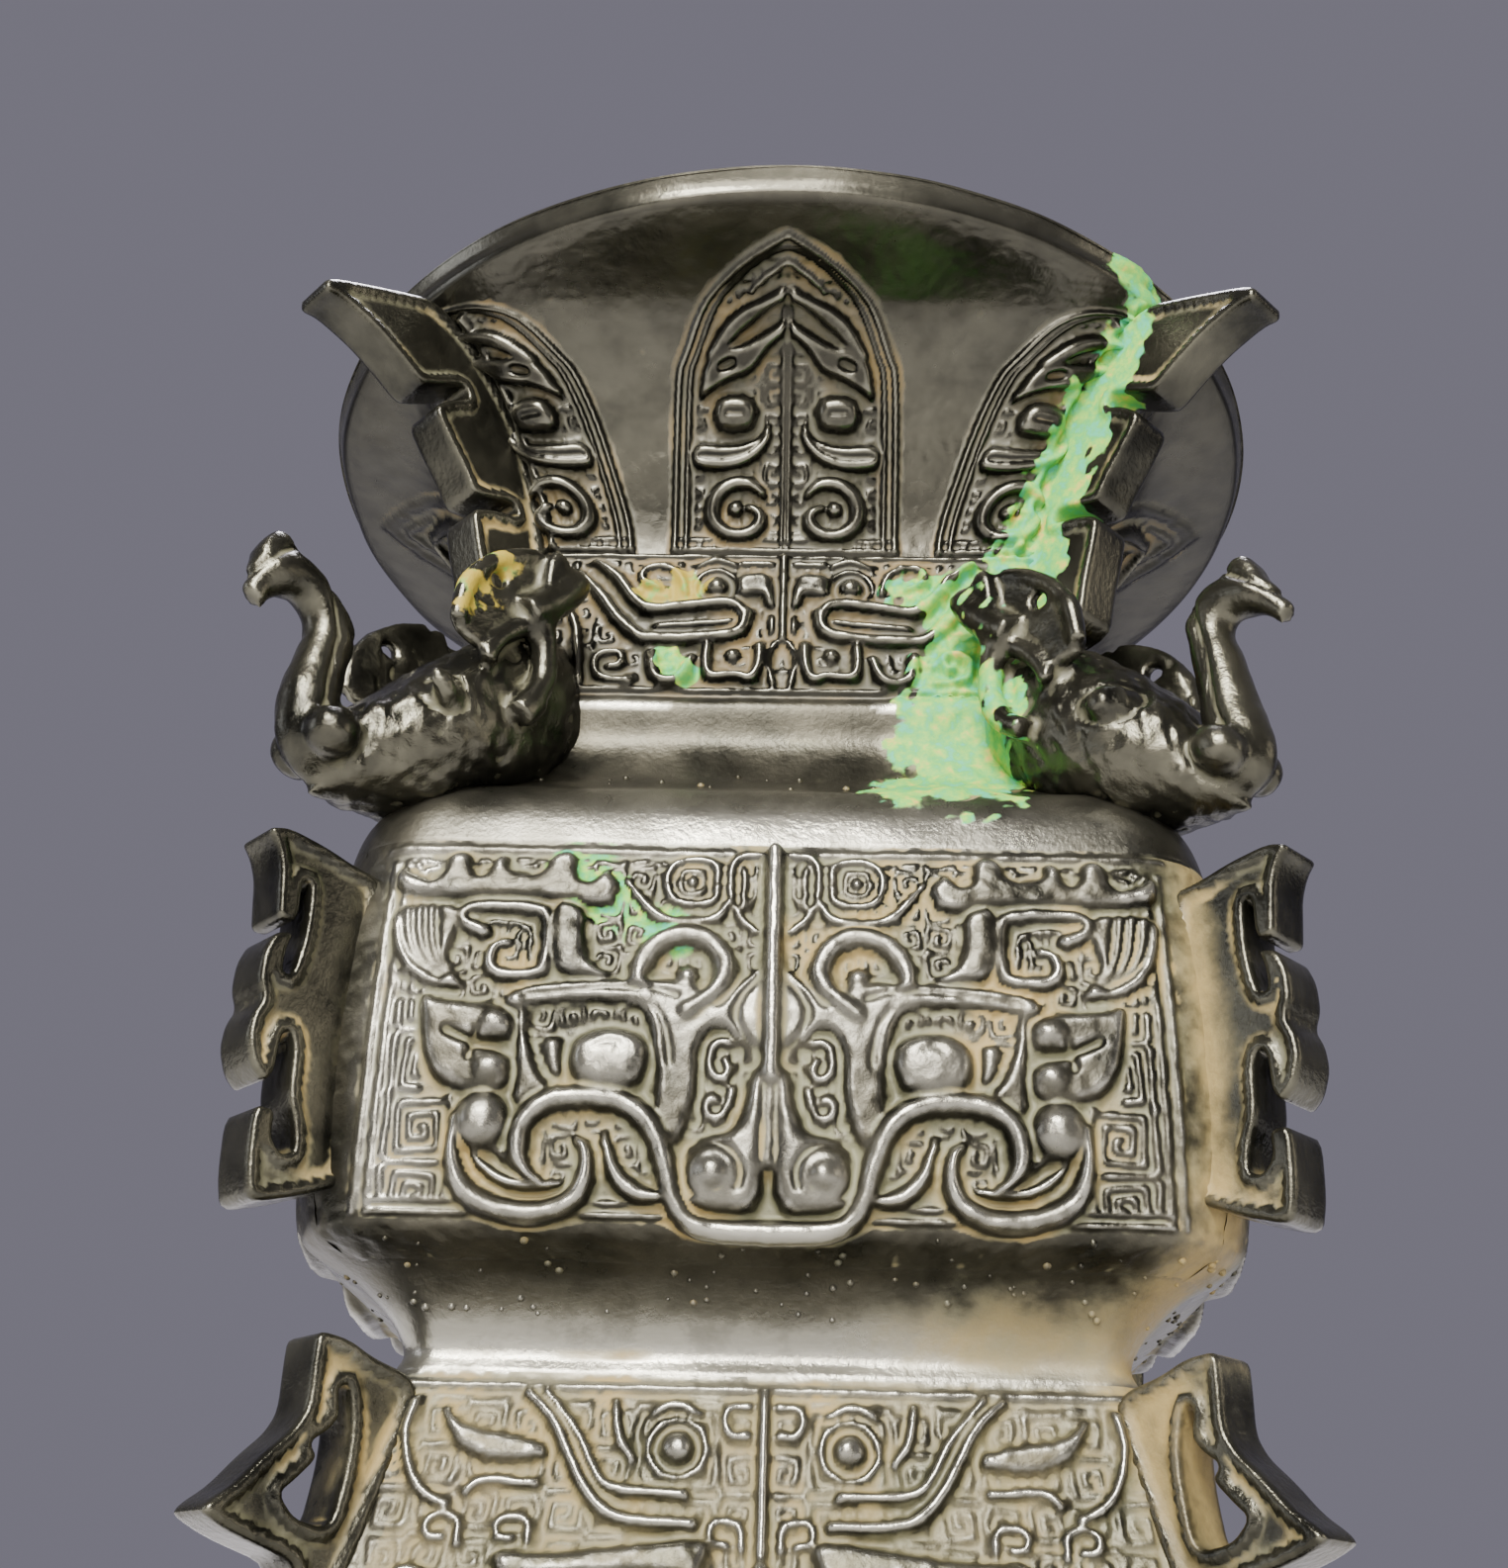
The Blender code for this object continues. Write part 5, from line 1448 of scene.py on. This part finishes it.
# two others multiplied, or the greater of the two
# the first two pairs join real wear and the painted sheen
PAIRS = (("handled_and_sheen", "MULTIPLY", "worn_and_sheen", "held"), ("rubbed_and_sheen", "MAXIMUM", "edge", "handled_and_sheen"),
         ("silted", "MULTIPLY", "hollow", "settled"), ("stuck", "MULTIPLY", "caked", "sheltered"),
         ("earth", "MAXIMUM", "silted", "stuck"), ("rusty", "MULTIPLY", "ochre", "cloudy"),
         ("grown", "MAXIMUM", "earth", "crust"), ("covered", "MAXIMUM", "grown", "powder"))


print(len(NUMBERS + NOISES + BROKEN + LEVELS + PAIRS) + 1, "shares for each material")

# %% [markdown]
# ## A node for each share
#
# A material is a tree of nodes, and a share is the output of one of them. One small function adds
# a node with its settings and links, and another goes through the tables with it.

# %% A node for each share
def add(tree, kind, feeds=(), **settings):
    """Adds a node with its own settings. feeds pairs each input with a value or with another output."""
    made = tree.nodes.new(kind)
    for name, value in settings.items():
        setattr(made, name, value)
    for socket, value in feeds:
        if isinstance(value, bpy.types.NodeSocket):
            tree.links.new(value, made.inputs[socket])
        else:
            made.inputs[socket].default_value = value
    return made


def shares_in(tree, shines):
    """Every share by its name, as the output of a node."""
    place = add(tree, "ShaderNodeTexCoord").outputs["Object"]
    share = {kind: add(tree, "ShaderNodeAttribute", attribute_name=kind).outputs["Fac"] for kind in NUMBERS}
    for title, scale in NOISES:
        share[title] = add(tree, "ShaderNodeTexNoise", [
            ("Vector", place), ("Scale", scale), ("Detail", 5), ("Roughness", 0.6)]).outputs[0]
    for title, noise, factor, number in BROKEN:
        share[title] = add(tree, "ShaderNodeMath", [(0, share[noise]), (1, factor), (2, share[number])],
                           operation="MULTIPLY_ADD").outputs[0]
    for title, value, low, high, start, end in (*LEVELS, ("shine", "cloudy", 0.32, 0.66, *shines)):
        share[title] = add(tree, "ShaderNodeMapRange", [
            ("Value", share[value]), ("From Min", low), ("From Max", high),
            ("To Min", start), ("To Max", end)], interpolation_type="SMOOTHSTEP").outputs[0]
    for title, operation, one, two in PAIRS:
        share[title] = add(tree, "ShaderNodeMath", [(0, share[one]), (1, share[two])],
                           operation=operation).outputs[0]
    return share


print("nodes ready for", ", ".join(title for title, *_ in PAIRS))

# %% [markdown]
# ## Bronze and what lies on it
#
# The colours are laid over one another as they lie on the metal: patina, rubbed metal that also
# paints the sheen, earth, crust and powder, each as far as its share goes. What covers the metal is
# dull and not metallic, and the finest noise dents the skin.

# %% Bronze
def cast_tin_bronze(name, shines, pit_depth, patinas, brightest, soils):
    """Bronze with its patina, wear and painted sheen, earth, malachite and yellow powder, smoother or
    rougher.
    """
    material = bpy.data.materials.new(name)
    material.use_nodes = True
    tree = material.node_tree
    share = shares_in(tree, shines)
    # the colour of rubbed metal, which also paints the sheen
    hue = {"rubbed_and_sheen": linear(brightest)}
    for title, value, stops in (
            ("patina", "cloudy", ((0.36, patinas[0]), (0.64, patinas[1]))),
            ("earth", "rusty", ((0.18, soils[0]), (0.52, soils[1]))),
            ("crust", "spotty", ((0.36, "#2f8f6a"), (0.45, "#3c8f40"), (0.58, "#6c9c33"), (0.70, "#a8913c"))),
            ("powder", "spotty", ((0.40, "#5f8030"), (0.50, "#80701a")))):
        ramp = add(tree, "ShaderNodeValToRGB", [("Fac", share[value])])
        for at, hexed in stops:
            ramp.color_ramp.elements.new(at).color = linear(hexed)
        ramp.color_ramp.elements.remove(ramp.color_ramp.elements[0])
        ramp.color_ramp.elements.remove(ramp.color_ramp.elements[-1])
        hue[title] = ramp.outputs[0]
    colour = hue["patina"]
    for title in ("rubbed_and_sheen", "earth", "crust", "powder"):
        colour = add(tree, "ShaderNodeMix", [("Factor", share[title]), (6, colour), (7, hue[title])],
                     data_type="RGBA").outputs[2]
    # rubbed skin and painted sheen are smooth, and what covers the metal is dull and no metal
    rough = share["shine"]
    for title, level in (("rubbed_and_sheen", 0.21), ("covered", 0.72)):
        rough = add(tree, "ShaderNodeMix", [("Factor", share[title]), (2, rough), (3, level)]).outputs[0]
    metal = add(tree, "ShaderNodeMath", [(0, share["covered"]), (1, -0.84), (2, 0.88)],
                operation="MULTIPLY_ADD").outputs[0]
    bump = add(tree, "ShaderNodeBump", [
        ("Height", share["fine"]), ("Strength", 1.0), ("Distance", pit_depth)]).outputs[0]
    for socket, value in (("Base Color", colour), ("Roughness", rough), ("Metallic", metal),
                          ("Normal", bump)):
        tree.links.new(value, tree.nodes["Principled BSDF"].inputs[socket])
    return material


print("bronze mixed from patina, rubbed metal, earth, crust and powder")

# %% [markdown]
# ## Three skins of one metal
#
# The cast skin of the belly and the foot is satin, with tan earth in it. The neck, the leaves and
# the lip are darker and smoother, so they mirror the room. Elephants and flanges, which hands
# have polished, are nearly black and glossy, and their fine dents break each highlight into
# sparks. The dents are a tenth of a millimetre deep: deeper ones would turn the metal dull.

# %% Three skins
# roughness from and to, depth of the dents in metres, patina, rubbed metal and painted sheen, earth
SKINS = {
    "cast_tin_bronze": (
        (0.26, 0.42), 0.00009, ("#1f1f19", "#413f35"), "#86857a", ("#5f5f46", "#7d6c3e")),
    "cast_tin_bronze_dark": (
        (0.17, 0.30), 0.00005, ("#1b1b16", "#2c2b24"), "#5e5d51", ("#3f3e2e", "#5c4e2c")),
    "cast_tin_bronze_polished": (
        (0.13, 0.24), 0.00012, ("#1e1e19", "#47463b"), "#5a594d", ("#45442f", "#7d6c3e"))}
skins = {name: cast_tin_bronze(name, *looks) for name, looks in SKINS.items()}
for made in pieces:
    if "flange" in made.name or made.name.startswith("elephant"):
        skin = "cast_tin_bronze_polished"
    elif made.name.startswith(("band", "leaves", "lip", "brim", "inside")):
        skin = "cast_tin_bronze_dark"
    else:
        skin = "cast_tin_bronze"
    made.data.materials.append(skins[skin])
print("bronze on", len(pieces), "pieces")
